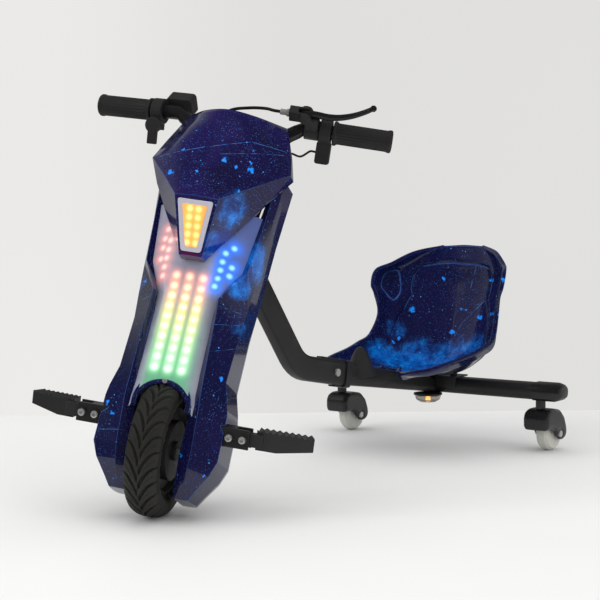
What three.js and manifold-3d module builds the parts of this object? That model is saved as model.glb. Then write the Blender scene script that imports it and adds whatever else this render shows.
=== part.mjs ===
// Electric drift trike with a faceted lit fairing, a bucket seat and two free casters.
// Millimetres, +Z up, +X to the rider's left, -Y the way the trike drives.
// The front end is modelled straight ahead and is turned with the steering at the end.
import * as THREE from 'three';
import { mergeVertices } from 'three/addons/utils/BufferGeometryUtils.js';
import Module from 'manifold-3d';

const wasm = await Module();
wasm.setup();

// Overall layout
const WHEELBASE = 784;
const RAKE_DEGREES = 19.8;
const TRAIL = 22;
const STEER_DEGREES = 25.5;
const FAIRING_LEAN_DEGREES = 24;
const SEAT_GAP = 0.3;
const RUNNING_GAP = 1;
const OVERRUN = 5;

// Front wheel
const TYRE = { radius: 100, width: 50, beadRadius: 66, beadWidth: 36 };
// From the bead out to the crown: places down from the outside and half widths, as shares of the tyre's width
const TYRE_SIDE_SHARES = [[0.54, 0.47], [0.32, 0.5], [0.16, 0.46], [0.06, 0.33], [0.01, 0.17]];
const GROOVE = { width: 3.8, depth: 3, pairs: 12, run: 24, sweep: 30, inner: 2, steps: 2, widthShare: 1.15, taperShare: 0.4 };
const SHOULDER_DROP_SHARE = 0.36;
const HUB = { width: 50, radius: 44, flange: 8, shoulderRadius: 14, dish: 6 };
const AXLE = { radius: 6, overhang: 9, nutRadius: 11, nutThickness: 8 };
const BRAKE_DRUM = { radius: 40, thickness: 9, bossRadius: 6, bossLength: 16, bossReach: 34, bossInset: 3.5 };

// Fork, steerer and head
const FORK = { legInset: 44, legThickness: 8, legDepth: 28, crownHeight: 18, crownDepth: 28, crownTop: 434 };
const STEERER = { radius: 12.7 };
const HEAD = { radius: 19, bore: 15.5, span: 88 };
const BEARING = { radius: 22, height: 6 };
const STEM = { neck: 47, neckRadius: 17, height: 26, width: 48, capWidth: 44, wall: 8, boltRadius: 3.5, boltSpread: 15 };

// Handlebar and what it carries
const BAR = {
  radius: 11,
  reach: 235,
  gripInner: 148,
  straightInner: 102,
  straightBack: 224,
  straightUp: 583,
  endBack: 238,
  endUp: 580,
};
// Places on the bend between clamp and straight, as shares of where the straight begins
const BAR_BEND_SHARES = [[0.549, 0.946, 0.947], [0.804, 0.969, 0.979]];
const GRIP = { radius: 16.5, fluteDepth: 1.1, flutes: 14, flangeRadius: 19, flangeWidth: 5, endWall: 4 };
const CONTROL_RING = { radius: 20, width: 18, centre: 136 };
const PERCH = { clampWidth: 23, clampRadius: 15.5, centre: 114.5, armWidth: 20, armHeight: 22, noseLength: 26 };
const LEVER = { x: 104, forward: 24, up: 21, span: 102, thickness: 9, height: 11, knuckleRadius: 10, tipRadius: 6.5 };
const ADJUSTER = { radius: 4.6, span: 14, nutRadius: 6, nutLength: 4 };
const CABLE = { radius: 2.5, sides: 8 };
const LEAD = { radius: 1.7, sides: 8 };
const SWITCH = { width: 22, depth: 20, height: 35, corner: 4, buttonRadius: 6, buttonHeight: 4, travel: 2 };
const THROTTLE = {
  discRadius: 12.5,
  discDepth: 8,
  forward: 17,
  down: 23,
  paddleWidth: 15,
  paddleLength: 30,
  paddleThickness: 6,
  paddleCorner: 2,
  bossWidth: 14,
};
const POD = { width: 44, depth: 24, height: 32, corner: 6, tiltDegrees: 30 };

// Fairing, cowl and lights: rows run up the leaning front, half widths and depths in millimetres
const WALL = 3;
const REAR_FAIRING = { top: 335, depth: 12, draft: 3, chamfer: 16, archRise: 12 };
const SLOT = { halfWidth: 37, archCentre: 146, band: 7, bandFrom: 79, bandTo: 96, tyreRoom: 6 };
const FAIRING = {
  start: 22,
  halfWidth: 98,
  depth: 104,
  parting: 12,
  draft: 4,
  recess: 8,
  floorHalf: 33,
  floorDepth: 79,
  waistShare: 0.27,
  headRoom: 43.5,
};
const COWL = { span: 252, startShare: 0.679, halfWidth: 111, depth: 167 };
const PANEL = { thickness: 3, crown: 103, topShare: 0.861 };
const PANEL_ROW_SHARES = [0.03, 0.2, 0.46, 0.55, 0.64, 0.82, 1];
const PANEL_COLUMN_SHARES = [-1, -0.75, -0.5, -0.25, 0, 0.25, 0.5, 0.75, 1];
const LED = { size: 4.6, height: 1.6, board: 1.6, pitch: 10.6, rows: 12, columnGap: 20.5, start: 192 };
const WING_BOARD = { width: 19, span: 60, x: 52, along: 397, columnGap: 10, inner: 5, outer: 3, lift: 2.2 };
const HEADLIGHT = {
  topHalf: 27,
  bottomHalf: 15,
  height: 76,
  corner: 4,
  thickness: 4,
  ledRows: 5,
  ledPitch: 13,
  ledGap: 14,
};
const BATTERY = { width: 80, span: 118, thickness: 24, corner: 8, clearance: 18 };
const CONTROLLER = { width: 62, span: 84, thickness: 14, clearance: 30 };

// Rear frame: places back from the front axle's side are on the trike's own axis, casters at Y zero
const TUBE = { width: 25, height: 42, corner: 6, wall: 3, bendRadius: 70, bendSteps: 5, junctionShare: 0.459 };
const JOINT = { y: -312, z: 161, slopeDegrees: 10.5 };
const UP_TUBE_DEGREES = 53.5;
const SPIGOT = { span: 50 };
const REAR_TUBE = { frontHeight: 39, rearHeight: 28, endY: -16, endZ: 111.4 };
const COLLAR = { width: 31, height: 47, span: 14 };
const COLLAR_BOLT = { radius: 3, headRadius: 6.5, headHeight: 4, inset: 37 };
const TONGUE = { width: 15, thickness: 3, span: 72, stub: 30 };
const CROSSBAR = { halfLength: 211, depth: 44, height: 30, z: 112, corner: 13 };
const END_CAP = { span: 56, depth: 47, height: 33, corner: 13, round: 11, plug: 30 };
const END_CAP_SHARES = [[0, 0], [0.74, 0], [0.9, 0.24], [0.98, 0.58], [1, 0.9]];
const POMMEL = { y: -261, z: 152, span: 78, height: 52, width: 46 };
const POMMEL_RING_SHARES = [[-1, 0.78], [-0.85, 0.93], [-0.5, 1], [0.5, 1], [0.85, 0.93], [1, 0.78]];
const POMMEL_SHARES = [[-0.46, 0], [-0.44, 0.5], [-0.24, 0.84], [0, 1], [0.2, 0.86], [0.42, 0.45], [0.54, 0.22], [0.54, 0]];
const CASTER = { track: 220, trail: 33, wheelRadius: 31.5, wheelWidth: 27, wheelEdge: 8, hubRadius: 9 };
const CASTER_HOOD = { span: 86, top: 80, width: 50, bevel: 5, slotWidth: 31, wheelRoom: 3 };
const CASTER_HOOD_SHARES = [
  [-0.256, 0.525], [-0.279, 0.625], [-0.279, 0.825], [-0.209, 0.95], [-0.07, 1], [0.163, 1], [0.419, 0.95],
  [0.605, 0.775], [0.698, 0.55], [0.721, 0.4], [0.663, 0.275], [0.535, 0.225], [0.395, 0.25], [0.256, 0.35],
  [0.14, 0.475], [0, 0.525],
];
const CASTER_STEM = { radius: 9, pinRadius: 5.5, pinDepth: 14, top: 118 };
const CASTER_AXLE = { radius: 3, headRadius: 6.5, headDepth: 4, recessRadius: 8 };
const SEAT = {
  wall: 4,
  lipRadius: 7,
  lipSteps: 3,
  lipEdge: 2,
  lipDrop: 10,
  lipTop: 215,
  lipFade: 20,
  tubeHalf: 16,
  tubeFade: 16,
  crotch: -130,
  leastBend: 0.06,
  kneeShare: 0.85,
  halfWidth: 151,
  depth: 325,
  height: 243,
  bottom: 130,
  front: -218,
};
// Rim point, middle point and how much the section belongs to the back rest
const SEAT_STATION_SHARES = [
  [0.298, 0.988, 0.984, 1, 1, 1],
  [0.563, 0.886, 0.938, 0.985, 0.905, 1],
  [0.781, 0.788, 0.856, 0.966, 0.802, 1],
  [0.927, 0.695, 0.807, 0.951, 0.7, 1],
  [1, 0.665, 0.7, 0.932, 0.617, 1],
  [1, 0.683, 0.626, 0.917, 0.543, 1],
  [0.841, 0.677, 0.465, 0.886, 0.403, 0.8],
  [0.834, 0.563, 0.309, 0.809, 0.113, 0.5],
  [0.861, 0.468, 0.259, 0.732, 0.041, 0.2],
  [0.834, 0.332, 0.222, 0.609, 0.027, 0],
  [0.795, 0.117, 0.185, 0.471, 0.047, 0],
  [0.709, 0.025, 0.156, 0.378, 0.068, 0],
  [0.53, 0, 0.136, 0.317, 0.08, 0],
  [0.331, 0.055, 0.115, 0.271, 0.093, 0],
  [0.166, 0.178, 0.108, 0.24, 0.1, 0],
];
const SEAT_COLUMN_SHARES = [-1, -0.84, -0.62, -0.34, 0, 0.34, 0.62, 0.84, 1];
const SEAT_BRACKET = { width: 112, depth: 44, thickness: 3, lip: 20, spacerRadius: 7, spacerLength: 8.5, spread: 76 };
const TAIL_LAMP = {
  radius: 27,
  baseHeight: 3,
  domeRadius: 25,
  domeHeight: 14,
  wall: 1.6,
  y: -31,
  bulbRadius: 4.5,
  bulbHeight: 9,
};

// Foot pegs
const PEG = {
  pivot: 122,
  fixing: 102,
  z: 136,
  span: 96,
  rootHeight: 32,
  tipHeight: 19,
  width: 24,
  crankDegrees: 22,
  knuckleRadius: 9.5,
};
const PEG_TEETH = { count: 9, depth: 3 };
const PEG_BRACKET = { height: 28, depth: 22, earThickness: 4, earReach: 9, footWidth: 6, footDepth: 34 };
const PEG_BOLT = { radius: 4, headRadius: 6.5, headHeight: 4 };

const FINISH = {
  body: { color: 0x1a1550, roughness: 0.18, metalness: 0.1 },
  frame: { color: 0x1b1b1d, roughness: 0.45, metalness: 0.3 },
  plastic: { color: 0x1c1c1e, roughness: 0.6, metalness: 0 },
  rubber: { color: 0x17171a, roughness: 0.85, metalness: 0 },
  steel: { color: 0xb9bcc0, roughness: 0.3, metalness: 1 },
  frosted: { color: 0xb9b9c8, roughness: 0.5, metalness: 0 },
  clear: { color: 0xe9edf0, roughness: 0.1, metalness: 0 },
  light: { color: 0xffc070, roughness: 0.4, metalness: 0 },
  board: { color: 0x1d3a2a, roughness: 0.6, metalness: 0 },
  roller: { color: 0xd9d8c8, roughness: 0.35, metalness: 0 },
};

const radians = THREE.MathUtils.degToRad;
const rake = radians(RAKE_DEGREES);
const lean = radians(FAIRING_LEAN_DEGREES);
const V = (x, y, z) => new THREE.Vector3(x, y, z);

// Turns a geometry inside out where its faces point inwards
function facesOut(geometry) {
  const position = geometry.attributes.position;
  const index = geometry.index;
  const corner = (i) => V().fromBufferAttribute(position, index.getX(i));
  let volume = 0;
  for (let i = 0; i < index.count; i += 3) {
    volume += corner(i).dot(corner(i + 1).cross(corner(i + 2)));
  }
  if (volume < 0) {
    for (let i = 0; i < index.count; i += 3) {
      const first = index.getX(i);
      index.setX(i, index.getX(i + 1));
      index.setX(i + 1, first);
    }
  }
  return geometry;
}

// One body with shared corners, ready to join and cut
function closed(geometry) {
  const bare = geometry.clone();
  bare.deleteAttribute('normal');
  bare.deleteAttribute('uv');
  return facesOut(mergeVertices(bare));
}

function toSolid(geometry) {
  const body = closed(geometry);
  return new wasm.Manifold(new wasm.Mesh({
    numProp: 3,
    vertProperties: new Float32Array(body.attributes.position.array),
    triVerts: new Uint32Array(body.index.array),
  }));
}

function toGeometry(solid) {
  const mesh = solid.getMesh();
  const geometry = new THREE.BufferGeometry();
  geometry.setAttribute('position', new THREE.BufferAttribute(mesh.vertProperties, 3));
  geometry.setIndex(new THREE.BufferAttribute(mesh.triVerts, 1));
  return geometry;
}

function join(...bodies) {
  return toGeometry(bodies.map(toSolid).reduce((sum, next) => sum.add(next)));
}

function cut(body, ...tools) {
  return toGeometry(tools.map(toSolid).reduce((rest, tool) => rest.subtract(tool), toSolid(body)));
}

const moved = (geometry, x, y, z) => geometry.clone().translate(x, y, z);
const mirrored = (geometry) => facesOut(closed(geometry.clone().scale(-1, 1, 1)));
const block = (width, depth, height) => new THREE.BoxGeometry(width, depth, height);

// A round bar along X, Y or Z, centred
function rod(radius, length, axis, sides = 20) {
  const bar = new THREE.CylinderGeometry(radius, radius, length, sides);
  if (axis === 'x') bar.rotateZ(Math.PI / 2);
  if (axis === 'z') bar.rotateX(Math.PI / 2);
  return bar;
}

// A body of revolution about X from points of [radius, place along X]
function revolve(points, sides = 32) {
  const profile = points.map(([radius, along]) => new THREE.Vector2(radius, along));
  const open = points[0][0] > 0 || points[points.length - 1][0] > 0;
  if (open) profile.push(profile[0].clone());
  return closed(new THREE.LatheGeometry(profile, sides).rotateZ(-Math.PI / 2));
}

const ringAlongX = (outer, inner, length, sides = 20) => revolve(
  [[inner, -length / 2], [outer, -length / 2], [outer, length / 2], [inner, length / 2]],
  sides,
);

function roundedRectangle(width, height, corner) {
  const shape = new THREE.Shape();
  const x = width / 2;
  const y = height / 2;
  shape.moveTo(-x + corner, -y);
  shape.lineTo(x - corner, -y);
  shape.absarc(x - corner, -y + corner, corner, -Math.PI / 2, 0);
  shape.lineTo(x, y - corner);
  shape.absarc(x - corner, y - corner, corner, 0, Math.PI / 2);
  shape.lineTo(-x + corner, y);
  shape.absarc(-x + corner, y - corner, corner, Math.PI / 2, Math.PI);
  shape.lineTo(-x, -y + corner);
  shape.absarc(-x + corner, -y + corner, corner, Math.PI, Math.PI * 1.5);
  return shape;
}

// The same outline as a list of points, with equal counts for every size
function roundedOutline(width, height, corner, steps) {
  const points = [];
  for (const [quarter, right, up] of [[0, 1, 1], [1, -1, 1], [2, -1, -1], [3, 1, -1]]) {
    for (let i = 0; i <= steps; i += 1) {
      const angle = (quarter + i / steps) * Math.PI / 2;
      const x = right * (width / 2 - corner) + corner * Math.cos(angle);
      points.push(new THREE.Vector2(x, up * (height / 2 - corner) + corner * Math.sin(angle)));
    }
  }
  return points;
}

// A block with four rounded edges along one axis
function roundedBlock(width, depth, height, corner, axis = 'z', arcSteps = 3) {
  const [across, up, along] = { x: [depth, height, width], y: [width, height, depth], z: [width, depth, height] }[axis];
  const shape = roundedRectangle(across, up, corner);
  const body = new THREE.ExtrudeGeometry(shape, { depth: along, bevelEnabled: false, curveSegments: arcSteps });
  body.translate(0, 0, -along / 2);
  if (axis === 'x') body.rotateX(Math.PI / 2).rotateZ(Math.PI / 2);
  if (axis === 'y') body.rotateX(Math.PI / 2);
  return body;
}

// A plate whose outline is given as [y, z] points, centred across X
function sideProfile(points, width, bevel = 0) {
  const shape = new THREE.Shape(points.map(([y, z]) => new THREE.Vector2(y, z)));
  const options = {
    depth: width - 2 * bevel,
    bevelEnabled: bevel > 0,
    bevelThickness: bevel,
    bevelSize: bevel,
    bevelOffset: -bevel,
    bevelSegments: 1,
  };
  const body = new THREE.ExtrudeGeometry(shape, options);
  body.translate(0, 0, -width / 2 + bevel);
  return body.rotateY(Math.PI / 2).rotateX(Math.PI / 2);
}

// A body lofted through rings of points that all have the same count; flat gives each ring's cap outline
function loft(rings, flat) {
  const count = rings[0].length;
  const position = rings.flat().flatMap((point) => point.toArray());
  const index = [];
  for (let i = 0; i + 1 < rings.length; i += 1) {
    for (let j = 0; j < count; j += 1) {
      const a = i * count + j;
      const b = i * count + (j + 1) % count;
      index.push(a, b, a + count, b, b + count, a + count);
    }
  }
  const last = (rings.length - 1) * count;
  const cap = (ring) => {
    const outline = ring.map(flat);
    const triangles = THREE.ShapeUtils.triangulateShape(outline, []);
    return THREE.ShapeUtils.area(outline) < 0 ? triangles.map(([a, b, c]) => [a, c, b]) : triangles;
  };
  for (const [a, b, c] of cap(rings[0])) index.push(b, a, c);
  for (const [a, b, c] of cap(rings[rings.length - 1])) index.push(last + a, last + b, last + c);
  const geometry = new THREE.BufferGeometry();
  geometry.setAttribute('position', new THREE.Float32BufferAttribute(position, 3));
  geometry.setIndex(index);
  return closed(geometry);
}

// A path that stops only where it is told to, so that straight runs stay one step long
class StationPath extends THREE.Curve {
  constructor(stations) {
    super();
    this.stations = stations;
  }

  getPoint(t) {
    const last = this.stations.length - 1;
    const from = Math.min(Math.floor(t * last + 1e-6), last - 1);
    return this.stations[from].clone().lerp(this.stations[from + 1], t * last - from);
  }

  getTangent(t) {
    const last = this.stations.length - 1;
    const at = Math.round(t * last);
    const before = this.stations[Math.max(at - 1, 0)];
    const after = this.stations[Math.min(at + 1, last)];
    return after.clone().sub(before).normalize();
  }

  getUtoTmapping(u) {
    return u;
  }
}

function sweep(shape, stations, arcSteps = 2) {
  return new THREE.ExtrudeGeometry(shape, {
    steps: stations.length - 1,
    extrudePath: new StationPath(stations),
    curveSegments: arcSteps,
  });
}

function circleShape(radius, sides) {
  const points = [];
  for (let i = 0; i < sides; i += 1) {
    const angle = (i / sides) * Math.PI * 2;
    points.push(new THREE.Vector2(radius * Math.cos(angle), radius * Math.sin(angle)));
  }
  return new THREE.Shape(points);
}

// A round cord, bar or hose through hand chosen points
function tubeThrough(points, radius, sides, steps) {
  const curve = new THREE.CatmullRomCurve3(points, false, 'centripetal');
  return sweep(circleShape(radius, sides), curve.getSpacedPoints(steps));
}

const trike = new THREE.Group();

function part(parent, name, geometry, finish) {
  const mesh = new THREE.Mesh(closed(geometry), new THREE.MeshStandardMaterial(FINISH[finish]));
  mesh.name = name;
  parent.add(mesh);
  return mesh;
}

// A joint whose children keep the coordinates of its parent; its Z axis is the joint's axis
function joint(parent, name, pivot, axis, degrees = 0) {
  const outer = new THREE.Group();
  outer.name = name;
  outer.position.copy(pivot);
  outer.quaternion.setFromUnitVectors(V(0, 0, 1), axis.clone().normalize());
  const back = outer.quaternion.clone().invert();
  const inner = new THREE.Group();
  inner.quaternion.copy(back);
  inner.position.copy(pivot.clone().negate().applyQuaternion(back));
  outer.rotateZ(radians(degrees));
  outer.add(inner);
  parent.add(outer);
  return inner;
}

// Steering axis and the two leaning frames of the front end
const steerFoot = V(0, -WHEELBASE - TRAIL, 0);
const steerAxis = V(0, Math.sin(rake), Math.cos(rake));
const steering = joint(trike, 'steering', steerFoot, steerAxis, STEER_DEGREES);
const front = new THREE.Group();
front.position.y = -WHEELBASE;
steering.add(front);
const column = new THREE.Group();
column.position.y = -TRAIL;
column.rotation.x = -rake;
front.add(column);
const face = new THREE.Group();
face.rotation.x = -lean;
front.add(face);

const leaned = (x, along, depth) => V(x, -depth, along);
const toFace = (geometry) => geometry.clone().rotateX(lean);
const onColumn = (along, offset = 0) => V(
  0,
  -TRAIL + along * Math.sin(rake) + offset * Math.cos(rake),
  along * Math.cos(rake) - offset * Math.sin(rake),
);

// Front wheel
function tyreGeometry() {
  const side = TYRE_SIDE_SHARES.map(([down, across]) => [TYRE.radius - TYRE.width * down, TYRE.width * across]);
  const half = [[TYRE.beadRadius, TYRE.beadWidth / 2], ...side];
  const other = half.map(([radius, along]) => [radius, -along]);
  const crown = [[TYRE.radius, 0]];
  return revolve([...other, ...crown, ...half.reverse()], 36);
}

// One curved groove from the middle of the tread to its shoulder, as a thin wedge cut from outside
function grooveGeometry() {
  const outline = [];
  for (const side of [-1, 1]) {
    for (let i = 0; i <= GROOVE.steps; i += 1) {
      const share = side < 0 ? i / GROOVE.steps : 1 - i / GROOVE.steps;
      const half = (GROOVE.width / 2) * (GROOVE.widthShare - GROOVE.taperShare * share);
      outline.push(new THREE.Vector2(GROOVE.inner + GROOVE.run * share, GROOVE.sweep * share * share + side * half));
    }
  }
  const body = new THREE.ExtrudeGeometry(new THREE.Shape(outline), { depth: TYRE.radius, bevelEnabled: false });
  const position = body.attributes.position;
  for (let i = 0; i < position.count; i += 1) {
    const across = position.getX(i);
    const drop = TYRE.width * SHOULDER_DROP_SHARE * (across / (TYRE.width / 2)) ** 3;
    const outer = position.getZ(i) > 0;
    const radius = outer ? TYRE.radius + OVERRUN : TYRE.radius - GROOVE.depth - drop;
    const angle = position.getY(i) / TYRE.radius;
    position.setXYZ(i, across, radius * Math.sin(angle), radius * Math.cos(angle));
  }
  return body;
}

function treadedTyre() {
  const tools = [];
  for (let i = 0; i < GROOVE.pairs; i += 1) {
    const groove = grooveGeometry();
    tools.push(groove.clone().rotateX((i / GROOVE.pairs) * Math.PI * 2));
    const other = mirrored(groove);
    tools.push(other.rotateX(((i + 0.5) / GROOVE.pairs) * Math.PI * 2));
  }
  return cut(tyreGeometry(), ...tools);
}

function hubGeometry() {
  const rim = TYRE.beadRadius - SEAT_GAP;
  const half = HUB.width / 2;
  const lip = TYRE.beadWidth / 2;
  const bore = AXLE.radius + SEAT_GAP;
  const side = [
    [bore, half],
    [HUB.shoulderRadius, half],
    [HUB.shoulderRadius, half - HUB.dish / 2],
    [HUB.radius, half - HUB.dish / 2],
    [HUB.radius, lip - HUB.flange],
    [rim - HUB.flange, lip - HUB.flange],
    [rim - HUB.flange / 2, lip],
    [rim, lip],
  ];
  const other = side.map(([radius, along]) => [radius, -along]);
  return revolve([...other, ...side.reverse()], 24);
}

const wheel = joint(front, 'front_wheel', V(0, 0, TYRE.radius), V(1, 0, 0));
part(wheel, 'front_tyre', moved(treadedTyre(), 0, 0, TYRE.radius), 'rubber');
part(wheel, 'front_hub', moved(hubGeometry(), 0, 0, TYRE.radius), 'frame');

const forkOuter = FORK.legInset + FORK.legThickness;
const axleHalf = forkOuter + AXLE.overhang;
function frontAxle() {
  const nut = rod(AXLE.nutRadius, AXLE.nutThickness, 'x', 6);
  const place = forkOuter + SEAT_GAP + AXLE.nutThickness / 2;
  return join(rod(AXLE.radius, 2 * axleHalf, 'x', 16), moved(nut, place, 0, 0), moved(nut, -place, 0, 0));
}
part(front, 'front_axle', moved(frontAxle(), 0, 0, TYRE.radius), 'steel');

// Drum brake plate on the rider's right, held by the fork leg, with the socket of the cable
const drumX = -(HUB.width / 2 + RUNNING_GAP + BRAKE_DRUM.thickness / 2);
const drumBoss = V(drumX - BRAKE_DRUM.bossInset, BRAKE_DRUM.bossReach, TYRE.radius + BRAKE_DRUM.bossReach);

function brakePlate() {
  const plate = ringAlongX(BRAKE_DRUM.radius, AXLE.radius + SEAT_GAP, BRAKE_DRUM.thickness, 32);
  const arm = block(BRAKE_DRUM.thickness, BRAKE_DRUM.bossReach, BRAKE_DRUM.bossReach * 0.5);
  const boss = rod(BRAKE_DRUM.bossRadius, BRAKE_DRUM.bossLength, 'z', 12);
  const bore = rod(CABLE.radius + 2 * SEAT_GAP, BRAKE_DRUM.bossLength, 'z', 12);
  const body = join(
    moved(plate, drumX, 0, TYRE.radius),
    moved(arm, drumX, BRAKE_DRUM.bossReach / 2, TYRE.radius + BRAKE_DRUM.bossReach * 0.7),
    moved(boss, drumBoss.x, drumBoss.y, drumBoss.z),
  );
  return cut(body, moved(bore, drumBoss.x, drumBoss.y, drumBoss.z + BRAKE_DRUM.bossLength / 2));
}
part(front, 'brake_plate', brakePlate(), 'frame');

// Headset bearings, above and below the head tube
const bearingInner = STEERER.radius + SEAT_GAP;
const lowerBearingAlong = FORK.crownTop + SEAT_GAP + BEARING.height / 2;
const headBottom = FORK.crownTop + 2 * SEAT_GAP + BEARING.height;
const headTop = headBottom + HEAD.span;
const upperBearingAlong = headTop + SEAT_GAP + BEARING.height / 2;

// Stem places on the column, worked out from the stack below it
const stemBottom = upperBearingAlong + BEARING.height / 2 + SEAT_GAP;
const barOffset = STEERER.radius + STEM.wall + BAR.radius + STEM.wall / 2;
const barAlong = stemBottom + STEM.neck + STEM.height / 2;
const steererTop = barAlong + STEM.height / 2;
const barCentre = onColumn(barAlong, barOffset);

// Fork: two flat legs, a crown and the steerer that turns in the head tube
function forkGeometry() {
  const axlePlace = TYRE.radius / Math.cos(rake);
  const legFoot = (TRAIL - TYRE.radius * Math.tan(rake)) * Math.cos(rake);
  const axleAlong = axlePlace + legFoot * Math.tan(rake);
  const legLength = FORK.crownTop - axleAlong;
  const slope = Math.atan2(legFoot, legLength);
  const bodies = [];
  for (const side of [-1, 1]) {
    const leg = block(FORK.legThickness, FORK.legDepth, legLength);
    leg.rotateX(slope);
    leg.translate(side * (FORK.legInset + FORK.legThickness / 2), legFoot / 2, axleAlong + legLength / 2);
    bodies.push(leg);
    const eye = rod(FORK.legDepth / 2, FORK.legThickness, 'x', 20);
    bodies.push(moved(eye, side * (FORK.legInset + FORK.legThickness / 2), legFoot, axleAlong));
  }
  bodies.push(moved(
    block(2 * forkOuter, FORK.crownDepth, FORK.crownHeight),
    0,
    0,
    FORK.crownTop - FORK.crownHeight / 2,
  ));
  const steererLength = steererTop - FORK.crownTop + OVERRUN;
  bodies.push(moved(rod(STEERER.radius, steererLength, 'z'), 0, 0, steererTop - steererLength / 2));
  const hole = rod(AXLE.radius + SEAT_GAP, 2 * axleHalf, 'x', 16);
  return cut(join(...bodies), moved(hole, 0, legFoot, axleAlong));
}
part(column, 'fork', forkGeometry(), 'frame');

function bearing(along) {
  return ringAlongX(BEARING.radius, bearingInner, BEARING.height).rotateY(Math.PI / 2).translate(0, 0, along);
}

// Stem: a neck and a block on the steerer, and a cap that clamps the bar behind it
function stemClamp() {
  const body = block(STEM.width, barOffset + STEERER.radius + STEM.wall, STEM.height);
  body.translate(0, (barOffset - STEERER.radius - STEM.wall) / 2, barAlong);
  const neck = moved(rod(STEM.neckRadius, STEM.neck + OVERRUN, 'z'), 0, 0, stemBottom + (STEM.neck + OVERRUN) / 2);
  const split = block(STEM.width + OVERRUN, BAR.radius * 2 + STEM.wall, STEM.height + OVERRUN);
  const splitY = barOffset + (BAR.radius * 2 + STEM.wall) / 2;
  const boreLength = 2 * (STEM.neck + STEM.height);
  const steererBore = rod(STEERER.radius + SEAT_GAP, boreLength, 'z');
  const barBore = rod(BAR.radius + SEAT_GAP, STEM.width + OVERRUN, 'x');
  return cut(
    join(body, neck),
    moved(split, 0, splitY, barAlong),
    moved(steererBore, 0, 0, stemBottom),
    moved(barBore, 0, barOffset, barAlong),
  );
}

function stemCap() {
  const depth = BAR.radius + STEM.wall / 2;
  const body = block(STEM.capWidth, depth, STEM.height);
  body.translate(0, barOffset + SEAT_GAP + depth / 2, barAlong);
  const barBore = rod(BAR.radius + SEAT_GAP, STEM.width + OVERRUN, 'x');
  const bolts = [];
  for (const side of [-1, 1]) {
    const head = rod(STEM.boltRadius, STEM.wall, 'y', 12);
    bolts.push(moved(head, side * STEM.boltSpread, barOffset + SEAT_GAP + depth, barAlong));
  }
  return cut(join(body, ...bolts), moved(barBore, 0, barOffset, barAlong));
}
part(column, 'stem_clamp', stemClamp(), 'frame');
part(column, 'stem_cap', stemCap(), 'frame');

// Handlebar: low in the clamp, up and out to the straight grip ends
const BAR_END = V(BAR.reach, BAR.endBack, BAR.endUp);
const BAR_STRAIGHT = V(BAR.straightInner, BAR.straightBack, BAR.straightUp);
const BAR_BENDS = BAR_BEND_SHARES.map((shares) => BAR_STRAIGHT.clone().multiply(V(...shares)));

function barStations() {
  const half = [barCentre.clone().setX(STEM.width / 2 + RUNNING_GAP), ...BAR_BENDS, BAR_STRAIGHT];
  const curve = new THREE.CatmullRomCurve3(half, false, 'centripetal').getSpacedPoints(7);
  const right = curve.map((point) => point.clone().setX(-point.x)).reverse();
  return [BAR_END.clone().setX(-BAR.reach), ...right, ...curve, BAR_END];
}
part(front, 'handlebar', sweep(circleShape(BAR.radius, 14), barStations()), 'frame');

// What sits on a straight end of the bar is modelled along X and laid on the bar by this group
function barEnd(side) {
  const group = new THREE.Group();
  const start = BAR_STRAIGHT.clone().setX(side * BAR_STRAIGHT.x);
  const end = BAR_END.clone().setX(side * BAR_END.x);
  group.quaternion.setFromUnitVectors(V(side, 0, 0), end.clone().sub(start).normalize());
  group.position.copy(start.clone().sub(V(side * BAR.straightInner, 0, 0).applyQuaternion(group.quaternion)));
  front.add(group);
  return group;
}
const barTip = BAR.straightInner + BAR_STRAIGHT.distanceTo(BAR_END);
const leftEnd = barEnd(1);
const rightEnd = barEnd(-1);

function gripGeometry(side) {
  const length = barTip - BAR.gripInner;
  const shape = [];
  const steps = GRIP.flutes * 2;
  for (let i = 0; i < steps; i += 1) {
    const radius = GRIP.radius - (i % 2) * GRIP.fluteDepth;
    const angle = (i / steps) * Math.PI * 2;
    shape.push(new THREE.Vector2(radius * Math.cos(angle), radius * Math.sin(angle)));
  }
  const sleeve = new THREE.ExtrudeGeometry(new THREE.Shape(shape), { depth: length + GRIP.endWall, bevelEnabled: false });
  sleeve.rotateY(Math.PI / 2).translate(BAR.gripInner, 0, 0);
  const flange = rod(GRIP.flangeRadius, GRIP.flangeWidth, 'x');
  const outerEnd = barTip + GRIP.endWall - GRIP.flangeWidth / 2;
  const bore = rod(BAR.radius + SEAT_GAP, length + OVERRUN + SEAT_GAP, 'x');
  const body = cut(
    join(
      sleeve,
      moved(flange, outerEnd, 0, 0),
      moved(flange, BAR.gripInner + GRIP.flangeWidth / 2, 0, 0),
    ),
    moved(bore, barTip + SEAT_GAP - (length + OVERRUN + SEAT_GAP) / 2, 0, 0),
  );
  return side > 0 ? body : mirrored(body);
}
part(leftEnd, 'left_grip', gripGeometry(1), 'rubber');
part(rightEnd, 'right_grip', gripGeometry(-1), 'rubber');

// Thumb throttle on the rider's right: a ring on the bar with a pivot boss below and the display behind
const throttlePivot = V(-CONTROL_RING.centre, -THROTTLE.forward, -THROTTLE.down);

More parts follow.
